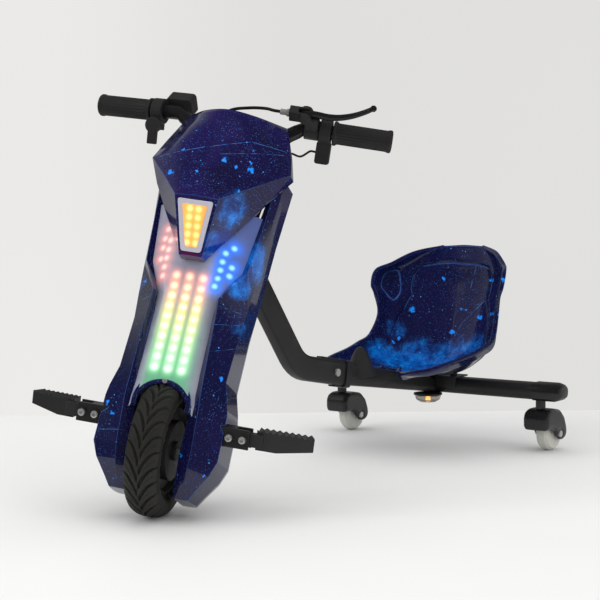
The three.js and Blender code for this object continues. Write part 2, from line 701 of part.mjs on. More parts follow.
function throttleBody() {
  const ring = ringAlongX(CONTROL_RING.radius, BAR.radius + SEAT_GAP, CONTROL_RING.width);
  const pod = roundedBlock(POD.width, POD.depth, POD.height, POD.corner, 'y');
  pod.rotateX(radians(POD.tiltDegrees));
  const podX = -CONTROL_RING.centre + POD.width / 2 + CONTROL_RING.width / 4;
  pod.translate(podX, BAR.radius + POD.depth / 2, BAR.radius * 1.2);
  const bossDepth = THROTTLE.forward + THROTTLE.bossWidth / 2;
  const bossHeight = THROTTLE.down - BAR.radius + THROTTLE.bossWidth / 2;
  const boss = block(THROTTLE.bossWidth, bossDepth, bossHeight);
  const bore = rod(BAR.radius + SEAT_GAP, POD.width * 3, 'x');
  return cut(
    join(
      moved(ring, -CONTROL_RING.centre, 0, 0),
      pod,
      moved(boss, throttlePivot.x, bossDepth / 2 - THROTTLE.forward, -BAR.radius - bossHeight / 2),
    ),
    moved(bore, -CONTROL_RING.centre, 0, 0),
  );
}

function throttleLever() {
  const disc = rod(THROTTLE.discRadius, THROTTLE.discDepth, 'y');
  const discY = throttlePivot.y - SEAT_GAP - THROTTLE.discDepth / 2;
  const paddle = roundedBlock(THROTTLE.paddleWidth, THROTTLE.paddleThickness, THROTTLE.paddleLength, THROTTLE.paddleCorner, 'y');
  const paddleZ = throttlePivot.z - THROTTLE.paddleLength / 2;
  return join(moved(disc, throttlePivot.x, discY, throttlePivot.z), moved(paddle, throttlePivot.x, discY, paddleZ));
}
part(rightEnd, 'throttle_body', throttleBody(), 'plastic');
const throttle = joint(rightEnd, 'throttle', throttlePivot, V(0, -1, 0));
part(throttle, 'throttle_lever', throttleLever(), 'plastic');

// Switch ring and its hanging box on the rider's left
const switchTop = -CONTROL_RING.radius + OVERRUN;

function switchHousing() {
  const ring = ringAlongX(CONTROL_RING.radius, BAR.radius + SEAT_GAP, CONTROL_RING.width);
  const box = roundedBlock(SWITCH.width, SWITCH.depth, SWITCH.height, SWITCH.corner, 'y');
  const socket = rod(SWITCH.buttonRadius + SEAT_GAP, SWITCH.travel * 4, 'y', 16);
  const lead = rod(LEAD.radius + 2 * SEAT_GAP, SWITCH.corner, 'x', 12);
  const bore = rod(BAR.radius + SEAT_GAP, SWITCH.width * 2, 'x');
  const centreZ = switchTop - SWITCH.height / 2;
  return cut(
    join(moved(ring, CONTROL_RING.centre, 0, 0), moved(box, CONTROL_RING.centre, 0, centreZ)),
    moved(bore, CONTROL_RING.centre, 0, 0),
    moved(socket, CONTROL_RING.centre, SWITCH.depth / 2, centreZ - OVERRUN),
    moved(lead, CONTROL_RING.centre - SWITCH.width / 2, 0, centreZ),
  );
}
part(leftEnd, 'switch_housing', switchHousing(), 'plastic');

const buttonPlace = V(CONTROL_RING.centre, SWITCH.depth / 2, switchTop - SWITCH.height / 2 - OVERRUN);
const button = joint(leftEnd, 'switch_button', buttonPlace, V(0, -1, 0));
const buttonCap = rod(SWITCH.buttonRadius, SWITCH.buttonHeight, 'y', 16);
part(button, 'switch_button', moved(buttonCap, buttonPlace.x, buttonPlace.y + SWITCH.travel / 2, buttonPlace.z), 'plastic');

// Brake perch on the rider's left: a clamp round the bar and an arm forward and up to the lever's pivot.
// Its frame has X along the bar, Y from the pivot towards the bar and Z along the pivot.
const leverPivot = V(LEVER.x, -LEVER.forward, LEVER.up);
const leverToBar = Math.hypot(LEVER.forward, LEVER.up);
const towardsBar = V(0, LEVER.forward, -LEVER.up).normalize();
const leverAxis = V(1, 0, 0).cross(towardsBar);
const leverFrame = new THREE.Matrix4().makeBasis(V(1, 0, 0), towardsBar, leverAxis).setPosition(leverPivot);
const inLeverFrame = (geometry) => geometry.clone().applyMatrix4(leverFrame);

function brakePerch() {
  const centre = PERCH.centre - LEVER.x;
  const clamp = ringAlongX(PERCH.clampRadius, BAR.radius + SEAT_GAP, PERCH.clampWidth);
  const arm = moved(block(PERCH.armWidth, leverToBar, PERCH.armHeight), centre, leverToBar / 2, 0);
  const noseX = -PERCH.noseLength / 2 + centre - PERCH.armWidth / 2;
  const nose = moved(block(PERCH.noseLength, 2 * LEVER.knuckleRadius, PERCH.armHeight * 0.7), noseX, 0, 0);
  const slotDepth = 3 * LEVER.knuckleRadius;
  const slot = moved(
    block(LEVER.span, slotDepth, LEVER.thickness + 2 * SEAT_GAP),
    LEVER.span / 2 - LEVER.knuckleRadius - RUNNING_GAP,
    LEVER.knuckleRadius + RUNNING_GAP - slotDepth / 2,
    0,
  );
  const ears = moved(rod(LEVER.knuckleRadius, PERCH.armHeight, 'z'), 0, 0, 0);
  return cut(
    join(moved(clamp, PERCH.centre, 0, 0), inLeverFrame(join(arm, nose, ears))),
    inLeverFrame(slot),
    moved(rod(BAR.radius + SEAT_GAP, PERCH.clampWidth * 2, 'x'), PERCH.centre, 0, 0),
  );
}
part(leftEnd, 'brake_perch', brakePerch(), 'plastic');

// Lever blade: shares of its length outwards and of its length away from the bar
const LEVER_PATH_SHARES = [[0, 0], [0.13, -0.03], [0.3, -0.055], [0.5, -0.045], [0.72, -0.08], [0.97, -0.165]];

function brakeLever() {
  const path = LEVER_PATH_SHARES.map(([out, up]) => V(out * LEVER.span, up * LEVER.span, 0));
  const stations = new THREE.CatmullRomCurve3(path).getSpacedPoints(9);
  const section = circleShape(LEVER.height / 2, 8);
  const blade = sweep(section, stations);
  blade.scale(1, 1, LEVER.thickness / LEVER.height);
  const knuckle = rod(LEVER.knuckleRadius - RUNNING_GAP / 2, LEVER.thickness, 'z');
  const tip = new THREE.SphereGeometry(LEVER.tipRadius, 12, 8);
  const end = path[path.length - 1];
  return inLeverFrame(join(blade, knuckle, moved(tip, end.x, end.y, end.z)));
}
const brake = joint(leftEnd, 'brake_lever', leverPivot, leverAxis);
part(brake, 'brake_lever', brakeLever(), 'plastic');

// Cable adjuster, in line with the nose of the perch
const adjusterX = PERCH.centre - PERCH.armWidth / 2 - PERCH.noseLength - SEAT_GAP;

function adjuster() {
  const body = moved(rod(ADJUSTER.radius, ADJUSTER.span, 'x', 16), adjusterX - ADJUSTER.span / 2, 0, 0);
  const nut = moved(rod(ADJUSTER.nutRadius, ADJUSTER.nutLength, 'x', 6), adjusterX - ADJUSTER.nutLength / 2, 0, 0);
  const bore = moved(rod(CABLE.radius + 2 * SEAT_GAP, ADJUSTER.span, 'x', 12), adjusterX - ADJUSTER.span, 0, 0);
  return cut(join(body, nut), bore).translate(0, leverPivot.y, leverPivot.z);
}
part(leftEnd, 'cable_adjuster', adjuster(), 'steel');

// Brake cable: over the back of the cowl, down inside the right side of the fairing, to the brake plate
leftEnd.updateMatrix();
const inFront = (x, y, z) => V(x, y, z).applyMatrix4(leftEnd.matrix);
const adjusterEnd = inFront(adjusterX - ADJUSTER.span / 2 - SEAT_GAP, leverPivot.y, leverPivot.z);
const BRAKE_CABLE_ROUTE = [
  adjusterEnd,
  inFront(adjusterX - ADJUSTER.span - SEAT_GAP, leverPivot.y, leverPivot.z),
  inFront(adjusterX - ADJUSTER.span - 2 * OVERRUN, leverPivot.y, leverPivot.z),
  V(42, 202, 614),
  V(14, 205, 611),
  V(-14, 196, 596),
  V(-36, 180, 568),
  V(-48, 170, 538),
  V(-62, 158, 498),
  V(-70, 136, 440),
  V(-68, 106, 370),
  V(-66, 84, 300),
  V(-62, 74, 240),
  V(-56, 72, 208),
  V(-44, 67, 184),
  V(drumBoss.x, drumBoss.y + OVERRUN / 2, drumBoss.z + BRAKE_DRUM.bossLength / 2 + 4 * OVERRUN),
  V(drumBoss.x, drumBoss.y, drumBoss.z + BRAKE_DRUM.bossLength / 2 + OVERRUN),
  V(drumBoss.x, drumBoss.y, drumBoss.z + SEAT_GAP),
];
part(front, 'brake_cable', tubeThrough(BRAKE_CABLE_ROUTE, CABLE.radius, CABLE.sides, 36), 'rubber');

// The fairing reaches from near the floor up to the upper bearing
const bearingOnFace = onColumn(upperBearingAlong).applyAxisAngle(V(1, 0, 0), lean);
const fairingSpan = bearingOnFace.z - FAIRING.start;
const upFairing = (share) => FAIRING.start + share * fairingSpan;

// Fairing outline: each row gives its place along, then panel edge, crease and side as half width and depth
const FAIRING_ROW_SHARES = [
  [0, 0.38, 0.48, 0.49, 0.5, 0.61, 0.5],
  [0.028, 0.38, 0.55, 0.51, 0.58, 0.7, 0.55],
  [0.076, 0.38, 0.63, 0.55, 0.7, 0.87, 0.62],
  [0.12, 0.39, 0.71, 0.57, 0.77, 0.96, 0.65],
  [0.256, 0.43, 0.82, 0.57, 0.91, 0.95, 0.66],
  [0.286, 0.44, 0.845, 0.56, 0.93, 0.92, 0.68],
  [0.348, 0.44, 0.845, 0.55, 0.95, 0.83, 0.69],
  [0.506, 0.43, 0.83, 0.53, 0.985, 0.84, 0.57],
  [0.578, 0.43, 0.825, 0.51, 1, 0.87, 0.56],
  [0.676, 0.67, 0.73, 0.8, 0.8, 0.9, 0.55],
  [0.816, 0.75, 0.68, 0.86, 0.74, 0.93, 0.55],
  [1, 0.86, 0.66, 0.92, 0.7, 1, 0.57],
];

function fairingRow([along, edge, edgeDepth, crease, creaseDepth, side, sideDepth]) {
  return {
    along: upFairing(along),
    edge: [edge * FAIRING.halfWidth, edgeDepth * FAIRING.depth],
    crease: [crease * FAIRING.halfWidth, creaseDepth * FAIRING.depth],
    side: [side * FAIRING.halfWidth, sideDepth * FAIRING.depth],
  };
}
const fairingRows = FAIRING_ROW_SHARES.map(fairingRow);

// A closed half outline mirrored into a ring of points on the leaning face
function symmetric(half, along) {
  const right = half.map(([x, depth]) => leaned(x, along, depth));
  const left = half.map(([x, depth]) => leaned(-x, along, depth)).reverse();
  return [...left, ...right];
}
const faceFlat = (point) => new THREE.Vector2(point.x, point.y);

// The recess floor is level in the middle and falls to the panel's edge on the wings
const edgeFloor = (row) => row.edge[1] - FAIRING.recess;
const floorDepth = (row) => (row.along < upFairing(FAIRING.waistShare) ? edgeFloor(row) : FAIRING.floorDepth);

function frontFairingBody(inset, back) {
  const last = fairingRows.length - 1;
  const rings = fairingRows.map((row, i) => {
    const along = row.along + (i === 0 ? inset : 0) + (i === last && inset > 0 ? OVERRUN : 0);
    const rear = row.side[0] + FAIRING.draft - inset;
    return symmetric([
      [FAIRING.floorHalf, floorDepth(row) - inset],
      [row.edge[0] - FAIRING.recess / 2 - inset, row.edge[1] - FAIRING.recess - inset],
      [row.edge[0] - inset, row.edge[1] - inset],
      [row.crease[0], row.crease[1] - inset],
      [row.side[0] - inset, row.side[1] - inset],
      [rear, back],
    ], along);
  });
  return loft(rings, faceFlat);
}

// The wheel slot: straight sides, a round arch and room for the tyre behind it
function slotTool(halfWidth, archCentre, from, to) {
  const shape = new THREE.Shape();
  shape.moveTo(-halfWidth, -TYRE.radius);
  shape.lineTo(halfWidth, -TYRE.radius);
  shape.lineTo(halfWidth, archCentre);
  shape.absarc(0, archCentre, halfWidth, 0, Math.PI);
  shape.lineTo(-halfWidth, -TYRE.radius);
  const body = new THREE.ExtrudeGeometry(shape, { depth: to - from, bevelEnabled: false, curveSegments: 12 });
  return body.rotateX(Math.PI / 2).translate(0, -from, 0);
}
const wheelRoom = () => toFace(moved(
  rod(TYRE.radius + SLOT.tyreRoom, 2 * SLOT.halfWidth, 'x', 40),
  0,
  0,
  TYRE.radius,
));

function archBand() {
  const outer = slotTool(SLOT.halfWidth + SLOT.band, SLOT.archCentre, SLOT.bandFrom, SLOT.bandTo);
  const low = block(4 * SLOT.halfWidth, 4 * FAIRING.depth, SLOT.archCentre + TYRE.radius);
  low.translate(0, 0, (SLOT.archCentre - TYRE.radius) / 2 - SLOT.band);
  return cut(outer, low);
}

function pegBlock(extra) {
  const length = PEG.pivot + PEG_BRACKET.earReach - forkOuter - SEAT_GAP;
  const body = block(length, PEG_BRACKET.depth + 2 * extra, PEG_BRACKET.height + 2 * extra);
  return moved(body, forkOuter + SEAT_GAP + length / 2, 0, PEG.z);
}

function frontFairing() {
  const shell = cut(frontFairingBody(0, FAIRING.parting), frontFairingBody(WALL, FAIRING.parting - OVERRUN));
  const slot = slotTool(SLOT.halfWidth, SLOT.archCentre, -FAIRING.depth, 2 * FAIRING.depth);
  const gate = pegBlock(RUNNING_GAP);
  const headRoom = moved(
    block(2 * BEARING.radius + 4 * RUNNING_GAP, FAIRING.depth, fairingSpan),
    0,
    -FAIRING.depth,
    bearingOnFace.z - FAIRING.headRoom + fairingSpan / 2,
  );
  return cut(join(shell, archBand()), slot, wheelRoom(), headRoom, toFace(gate), toFace(mirrored(gate)));
}
part(face, 'front_fairing', frontFairing(), 'body');

// Rear fairing: a shallow tray behind the lower half, with its own arch for the wheel
function rearFairingBody(inset) {
  const rows = fairingRows.filter((row) => row.along < REAR_FAIRING.top);
  const edge = FAIRING.parting - SEAT_GAP + (inset > 0 ? OVERRUN : 0);
  const rings = rows.map((row, i) => {
    const end = i === rows.length - 1;
    const along = end ? REAR_FAIRING.top - inset : row.along + (i === 0 ? inset : 0);
    const rear = row.side[0] + FAIRING.draft - inset;
    return symmetric([
      [rear, edge],
      [rear - REAR_FAIRING.draft, -REAR_FAIRING.depth / 3],
      [rear - REAR_FAIRING.chamfer, -REAR_FAIRING.depth + inset],
    ].reverse(), along);
  });
  return loft(rings, faceFlat);
}

function rearFairing() {
  const slot = slotTool(SLOT.halfWidth, SLOT.archCentre + REAR_FAIRING.archRise, -FAIRING.depth, FAIRING.depth);
  return cut(rearFairingBody(0), rearFairingBody(WALL), slot);
}
part(face, 'rear_fairing', rearFairing(), 'body');

// Value of a fairing edge at any place along the face, between its rows
function alongRows(along, pick) {
  const next = Math.max(1, fairingRows.findIndex((row) => row.along >= along));
  const before = fairingRows[next - 1];
  const after = fairingRows[next];
  const share = (along - before.along) / (after.along - before.along);
  return pick(before) + (pick(after) - pick(before)) * share;
}
const edgeHalf = (along) => alongRows(along, (row) => row.edge[0]);
const panelEdge = (along) => edgeHalf(along) - RUNNING_GAP - PANEL.thickness / 2;
const panelEdgeDepth = (along) => alongRows(along, (row) => row.edge[1]);
const recessFloor = (along) => panelEdgeDepth(along) - FAIRING.recess;

// Light panel: one frosted skin, highest along the middle, with an arch over the wheel
function lightPanel() {
  const archRadius = SLOT.halfWidth + SLOT.band + 2 * RUNNING_GAP;
  const start = SLOT.archCentre;
  const rowPlaces = PANEL_ROW_SHARES.map((share) => start + archRadius + share * (upFairing(PANEL.topShare) - start - archRadius));
  const surface = (share, along) => {
    const half = panelEdge(along);
    const edge = panelEdgeDepth(along) - SEAT_GAP;
    return [share * half, edge + (PANEL.crown - edge) * (1 - share * share)];
  };
  const rowPoints = (along, drop, arch) => PANEL_COLUMN_SHARES.map((share) => {
    const [x, depth] = surface(share, along);
    const foot = Math.sqrt(Math.max(archRadius ** 2 - x ** 2, 0));
    return leaned(x, arch ? start + foot : along, depth - drop);
  });
  const first = (drop) => rowPoints(start + archRadius, drop, true);
  const rest = (drop) => rowPlaces.map((along) => rowPoints(along, drop, false));
  const outer = [first(0), ...rest(0)];
  const inner = [first(PANEL.thickness), ...rest(PANEL.thickness)];
  const rings = outer.map((row, i) => [...row, ...inner[i].slice().reverse()]);
  return loft(rings, faceFlat);
}
part(face, 'light_panel', lightPanel(), 'frosted');

// Lit boards under the panel: a plate with rows of small square lamps
function ledBoard(columns, width, length) {
  const bodies = [block(width, LED.board, length)];
  for (const [x, places] of columns) {
    for (const place of places) {
      bodies.push(moved(block(LED.size, LED.height + LED.board, LED.size), x, -LED.height / 2, place));
    }
  }
  return join(...bodies);
}

function spread(count, pitch) {
  return Array.from({ length: count }, (_, i) => (i - (count - 1) / 2) * pitch);
}

const centreBoardLength = LED.rows * LED.pitch;
const centreBoardAlong = LED.start + centreBoardLength / 2;
const centreColumns = [-LED.columnGap, 0, LED.columnGap].map((x) => [x, spread(LED.rows, LED.pitch)]);
const centreBoard = ledBoard(centreColumns, 2 * LED.columnGap + 3 * LED.size, centreBoardLength);
part(
  face,
  'centre_led_board',
  moved(centreBoard, 0, -FAIRING.floorDepth - SEAT_GAP - LED.board / 2, centreBoardAlong),
  'board',
);

function wingBoard(side) {
  const columns = [
    [-side * WING_BOARD.columnGap / 2, spread(WING_BOARD.inner, LED.pitch)],
    [side * WING_BOARD.columnGap / 2, spread(WING_BOARD.outer, LED.pitch)],
  ];
  const board = ledBoard(columns, WING_BOARD.width, WING_BOARD.span);
  const floorEdge = edgeHalf(WING_BOARD.along) - FAIRING.recess / 2;
  const fall = FAIRING.floorDepth - recessFloor(WING_BOARD.along);
  const slope = Math.atan2(fall, floorEdge - FAIRING.floorHalf);
  const depth = FAIRING.floorDepth - (WING_BOARD.x - FAIRING.floorHalf) * Math.tan(slope);
  board.rotateZ(side * slope);
  return moved(board, side * WING_BOARD.x, -depth - WING_BOARD.lift, WING_BOARD.along);
}
part(face, 'left_led_board', wingBoard(1), 'board');
part(face, 'right_led_board', wingBoard(-1), 'board');

// Cowl: rows from the nose up to the rear edge. Each has its place along, then lower edge, band,
// facet edge and crown as half width and depth, then the depth of the middle and its set back.
const COWL_ROW_SHARES = [
  [0, 0.15, 0.625, 0.165, 0.655, 0.16, 0.745, 0.08, 0.752, 0.755, 0],
  [0.31, 0.585, 0.53, 0.595, 0.575, 0.3, 0.98, 0.15, 0.993, 1, 0],
  [0.47, 0.8, 0.485, 0.81, 0.53, 0.62, 0.75, 0.33, 0.885, 0.925, 0],
  [0.635, 0.985, 0.43, 0.995, 0.46, 0.985, 0.49, 0.52, 0.76, 0.845, 0],
  [0.79, 0.93, 0.35, 0.935, 0.375, 0.92, 0.405, 0.48, 0.695, 0.775, 0.01],
  [1, 0.705, 0.265, 0.71, 0.275, 0.7, 0.29, 0.38, 0.575, 0.69, 0.04],
];

const cowlStart = upFairing(COWL.startShare);

function cowlBody(inset) {
  const last = COWL_ROW_SHARES.length - 1;
  const rings = COWL_ROW_SHARES.map((row, i) => {
    const [along, lowX, lowDepth, bandX, bandDepth, edgeX, edgeDepth, crownX, crownDepth, middleDepth, setBack] = row;
    const open = i === last && inset > 0 ? 4 * OVERRUN : 0;
    const place = cowlStart + along * COWL.span + (i === 0 ? inset : 0) + open;
    const x = (share) => Math.max(share * COWL.halfWidth - inset, WALL);
    const depth = (share) => share * COWL.depth - inset;
    const half = [
      [0, depth(middleDepth), place - setBack * COWL.span],
      [crownX * COWL.halfWidth - inset / 2, depth(crownDepth), place - setBack * COWL.span * 0.8],
      [x(edgeX), depth(edgeDepth), place],
      [x(bandX), depth(bandDepth), place],
      [x(lowX), lowDepth * COWL.depth - (inset > 0 ? inset + OVERRUN : 0), place],
    ];
    const right = half.map(([across, out, up]) => leaned(across, up, out));
    const left = half.slice(1).map(([across, out, up]) => leaned(-across, up, out)).reverse();
    return [...left, ...right];
  });
  return loft(rings, faceFlat);
}

// Headlight in the nose: its frame stands on the flat between the nose's low and high corners
const noseLow = [cowlStart, COWL_ROW_SHARES[0][9] * COWL.depth];
const noseHigh = [cowlStart + COWL_ROW_SHARES[1][0] * COWL.span, COWL_ROW_SHARES[1][9] * COWL.depth];
const noseTilt = Math.atan2(noseHigh[1] - noseLow[1], noseHigh[0] - noseLow[0]);
const noseUp = V(0, -Math.sin(noseTilt), Math.cos(noseTilt));
const noseOut = V(0, -Math.cos(noseTilt), -Math.sin(noseTilt));
const noseMiddle = leaned(0, (noseLow[0] + noseHigh[0]) / 2, (noseLow[1] + noseHigh[1]) / 2);
const noseFrame = new THREE.Matrix4().makeBasis(V(1, 0, 0), noseUp, noseOut).setPosition(noseMiddle);
const onNose = (geometry) => geometry.clone().applyMatrix4(noseFrame);

function lampOutline(inset) {
  const top = HEADLIGHT.topHalf - inset;
  const bottom = HEADLIGHT.bottomHalf - inset;
  const half = HEADLIGHT.height / 2 - inset;
  const round = HEADLIGHT.corner;
  const shape = new THREE.Shape();
  shape.moveTo(-bottom + round, -half);
  shape.lineTo(bottom - round, -half);
  shape.quadraticCurveTo(bottom, -half, bottom + round * 0.2, -half + round);
  shape.lineTo(top - round * 0.2, half - round);
  shape.quadraticCurveTo(top, half, top - round, half);
  shape.lineTo(-top + round, half);
  shape.quadraticCurveTo(-top, half, -top + round * 0.2, half - round);
  shape.lineTo(-bottom - round * 0.2, -half + round);
  shape.quadraticCurveTo(-bottom, -half, -bottom + round, -half);
  return shape;
}

function lampPlate(inset, thickness, from) {
  const body = new THREE.ExtrudeGeometry(lampOutline(inset), { depth: thickness, bevelEnabled: false, curveSegments: 3 });
  return onNose(body.translate(0, 0, from));
}

function frontCowl() {
  const opening = lampPlate(-SEAT_GAP, HEADLIGHT.thickness * 6, -HEADLIGHT.thickness * 3);
  return cut(cowlBody(0), cowlBody(WALL), opening);
}
part(face, 'front_cowl', frontCowl(), 'body');
part(face, 'headlight_lens', lampPlate(0, HEADLIGHT.thickness, -HEADLIGHT.thickness + RUNNING_GAP), 'frosted');

function headlightBoard() {
  const plate = block(HEADLIGHT.bottomHalf * 2, HEADLIGHT.height * 0.8, LED.board);
  const bodies = [plate];
  for (const x of [-1, 1]) {
    for (const y of spread(HEADLIGHT.ledRows, HEADLIGHT.ledPitch)) {
      bodies.push(moved(block(LED.size, LED.size, LED.height + LED.board), x * HEADLIGHT.ledGap / 2, y, LED.height / 2));
    }
  }
  const depth = -HEADLIGHT.thickness + RUNNING_GAP - SEAT_GAP - LED.height - LED.board / 2;
  return onNose(moved(join(...bodies), 0, 0, depth));
}
part(face, 'headlight_board', headlightBoard(), 'board');

// Battery behind the fork legs and motor controller behind the recess floor
const batteryAlong = SLOT.archCentre + SLOT.halfWidth + BATTERY.clearance + BATTERY.span / 2;
const batteryDepth = -REAR_FAIRING.depth + WALL + SEAT_GAP + BATTERY.thickness / 2;
const batteryCase = roundedBlock(BATTERY.width, BATTERY.thickness, BATTERY.span, BATTERY.corner, 'y');
part(face, 'battery_pack', moved(batteryCase, 0, -batteryDepth, batteryAlong), 'plastic');

const controllerAlong = SLOT.archCentre + SLOT.halfWidth + CONTROLLER.clearance + CONTROLLER.span / 2;
const controllerDepth = FAIRING.floorDepth - WALL - SEAT_GAP - CONTROLLER.thickness / 2;

function controllerCase() {
  const body = block(CONTROLLER.width, CONTROLLER.thickness, CONTROLLER.span);
  const socket = rod(LEAD.radius + 2 * SEAT_GAP, OVERRUN, 'z', 12);
  return cut(body, moved(socket, CONTROLLER.width / 4, 0, CONTROLLER.span / 2));
}
part(face, 'motor_controller', moved(controllerCase(), 0, -controllerDepth, controllerAlong), 'steel');

// Switch lead: from the housing's inner face, round the stem inside the cowl, down to the controller
const leadFrom = CONTROL_RING.centre - SWITCH.width / 2 + SWITCH.corner / 2 - SEAT_GAP;
const leadAt = (out) => inFront(leadFrom - out, 0, switchTop - SWITCH.height / 2);
const onFace = (x, along, depth) => leaned(x, along, depth).applyAxisAngle(V(1, 0, 0), -lean);
const controllerTop = controllerAlong + CONTROLLER.span / 2;
const SWITCH_LEAD_ROUTE = [
  leadAt(0),
  leadAt(OVERRUN),
  leadAt(2 * OVERRUN),
  V(104, 216, 533),
  V(90, 206, 538),
  V(76, 190, 538),
  V(68, 168, 510),
  onFace(68, 468, 55),
  onFace(66, 410, 58),
  onFace(58, 370, 63),
  onFace(48, 345, 66.7),
  onFace(30, 325, 68),
  onFace(CONTROLLER.width / 4, controllerTop + 3 * OVERRUN, controllerDepth),
  onFace(CONTROLLER.width / 4, controllerTop - OVERRUN / 2 + SEAT_GAP, controllerDepth),
];
part(front, 'switch_lead', tubeThrough(SWITCH_LEAD_ROUTE, LEAD.radius, LEAD.sides, 30), 'rubber');

// Foot peg brackets: bars from the fork legs through the fairing, forked at the end for the pegs
function pegBracket() {
  const slotWidth = PEG_BRACKET.depth - 2 * PEG_BRACKET.earThickness;
  const slotLength = 2 * PEG_BRACKET.earReach + OVERRUN;
  const fork = block(slotLength, slotWidth, PEG_BRACKET.height + OVERRUN);
  const foot = block(PEG_BRACKET.footWidth, PEG_BRACKET.footDepth, PEG_BRACKET.height);
  const heads = [PEG.fixing, PEG.pivot].map((x) => moved(
    rod(PEG_BOLT.headRadius, PEG_BOLT.headHeight, 'y', 16),
    x,
    -PEG_BRACKET.depth / 2 - PEG_BOLT.headHeight / 2 + SEAT_GAP,
    PEG.z,
  ));
  const pin = rod(PEG_BOLT.radius, PEG_BRACKET.depth, 'y', 12);
  const body = cut(
    join(pegBlock(0), moved(foot, forkOuter + SEAT_GAP + PEG_BRACKET.footWidth / 2, 0, PEG.z)),
    moved(fork, PEG.pivot + PEG_BRACKET.earReach - slotLength / 2 + OVERRUN / 2, 0, PEG.z),
  );
  return join(body, moved(pin, PEG.pivot, 0, PEG.z), ...heads);
}
part(front, 'left_peg_bracket', pegBracket(), 'frame');
part(front, 'right_peg_bracket', mirrored(pegBracket()), 'frame');

// Foot peg: a knuckle between the bracket's ears and a blade with a toothed top, cranked rearwards
function footPeg() {
  const knuckleDepth = PEG_BRACKET.depth - 2 * PEG_BRACKET.earThickness - 2 * SEAT_GAP;
  const knuckle = rod(PEG.knuckleRadius, knuckleDepth, 'y', 24);
  const half = PEG.rootHeight / 2;
  const tip = PEG.tipHeight / 2;
  const start = PEG.knuckleRadius * 0.4;
  const outline = [[start, -half * 0.8], [start + PEG.span * 0.4, -half], [PEG.span, -tip * 1.1], [PEG.span, tip]];
  const topStart = start + PEG.span * 0.08;
  for (let i = PEG_TEETH.count; i > 0; i -= 1) {
    const outer = topStart + (PEG.span - topStart) * (i / PEG_TEETH.count);
    const inner = topStart + (PEG.span - topStart) * ((i - 0.55) / PEG_TEETH.count);
    const top = (x) => half + (tip - half) * ((x - topStart) / (PEG.span - topStart));
    outline.push([outer - PEG_TEETH.depth * 0.3, top(outer)]);
    outline.push([inner, top(inner) - PEG_TEETH.depth]);
  }
  outline.push([topStart, half], [start, half * 0.7]);
  const blade = sideProfile(outline, PEG.width).rotateZ(-Math.PI / 2);
  blade.translate(0, PEG.width / 2 - knuckleDepth / 2, 0).rotateZ(radians(PEG.crankDegrees));
  blade.translate(PEG.knuckleRadius * 0.5, 0, 0);
  const neck = block(PEG.knuckleRadius * 3, knuckleDepth, 2 * PEG.knuckleRadius);
  neck.translate(PEG.knuckleRadius * 1.5, 0, 0);
  const bore = rod(PEG_BOLT.radius + SEAT_GAP, PEG_BRACKET.depth, 'y', 16);
  const clearance = cut(
    block(6 * PEG.knuckleRadius, 4 * PEG.width, 4 * PEG.rootHeight),
    block(7 * PEG.knuckleRadius, knuckleDepth + SEAT_GAP, 5 * PEG.rootHeight),
  );
  const reach = Math.hypot(PEG_BRACKET.earReach, PEG_BRACKET.height / 2) + RUNNING_GAP;
  const inner = block(reach, PEG.width, PEG.rootHeight);
  const under = cut(moved(inner, reach / 2, 0, 0), block(3 * reach, 2 * PEG.width, 2 * PEG.knuckleRadius));
  return moved(
    cut(join(knuckle, neck, blade), bore, moved(clearance, reach - 3 * PEG.knuckleRadius, 0, 0), under),
    PEG.pivot,
    0,
    PEG.z,
  );
}
const leftPeg = joint(front, 'left_footpeg', V(PEG.pivot, 0, PEG.z), V(0, -1, 0));
const rightPeg = joint(front, 'right_footpeg', V(-PEG.pivot, 0, PEG.z), V(0, 1, 0));
part(leftPeg, 'left_footpeg', footPeg(), 'plastic');
part(rightPeg, 'right_footpeg', mirrored(footPeg()), 'plastic');

// Fixed rear frame: bearings and head tube on the steering axis, then the tubes back to the casters
const head = new THREE.Group();
head.position.copy(steerFoot);
head.rotation.x = -rake;
trike.add(head);
part(head, 'lower_bearing', bearing(lowerBearingAlong), 'steel');
part(head, 'upper_bearing', bearing(upperBearingAlong), 'steel');

const tubeSection = (inset) => roundedRectangle(TUBE.width - 2 * inset, TUBE.height - 2 * inset, TUBE.corner - inset);
const tubeSlope = radians(JOINT.slopeDegrees);
const upSlope = radians(UP_TUBE_DEGREES);
const frontward = V(0, -Math.cos(tubeSlope), Math.sin(tubeSlope));
const upward = V(0, Math.sin(tubeSlope), Math.cos(tubeSlope));
const jointPlace = V(0, JOINT.y, JOINT.z);
const alongTube = (distance, rise = 0) => jointPlace.clone().addScaledVector(frontward, distance).addScaledVector(upward, rise);
const tubeJunction = steerFoot.clone().addScaledVector(steerAxis, headBottom + HEAD.span * TUBE.junctionShare);

// The main tube's path: straight, a bend of one radius, straight up to the head tube
function mainTubeStations() {
  const climb = V(0, -Math.cos(upSlope), Math.sin(upSlope));
  const gap = tubeJunction.clone().sub(jointPlace);
  const turn = upSlope - tubeSlope;
  const after = gap.clone().cross(frontward).length() / Math.sin(turn);
  const before = gap.clone().cross(climb).length() / Math.sin(turn);
  const corner = alongTube(before);
  const tangent = TUBE.bendRadius * Math.tan(turn / 2);
  const bendCentre = corner.clone().addScaledVector(frontward, -tangent).addScaledVector(upward, TUBE.bendRadius);
  const stations = [jointPlace.clone()];
  for (let i = 0; i <= TUBE.bendSteps; i += 1) {
    const angle = tubeSlope + (turn * i) / TUBE.bendSteps;
    stations.push(bendCentre.clone().add(V(0, -Math.sin(angle), -Math.cos(angle)).multiplyScalar(TUBE.bendRadius)));
  }
  stations.push(corner.addScaledVector(climb, after));
  return stations;
}

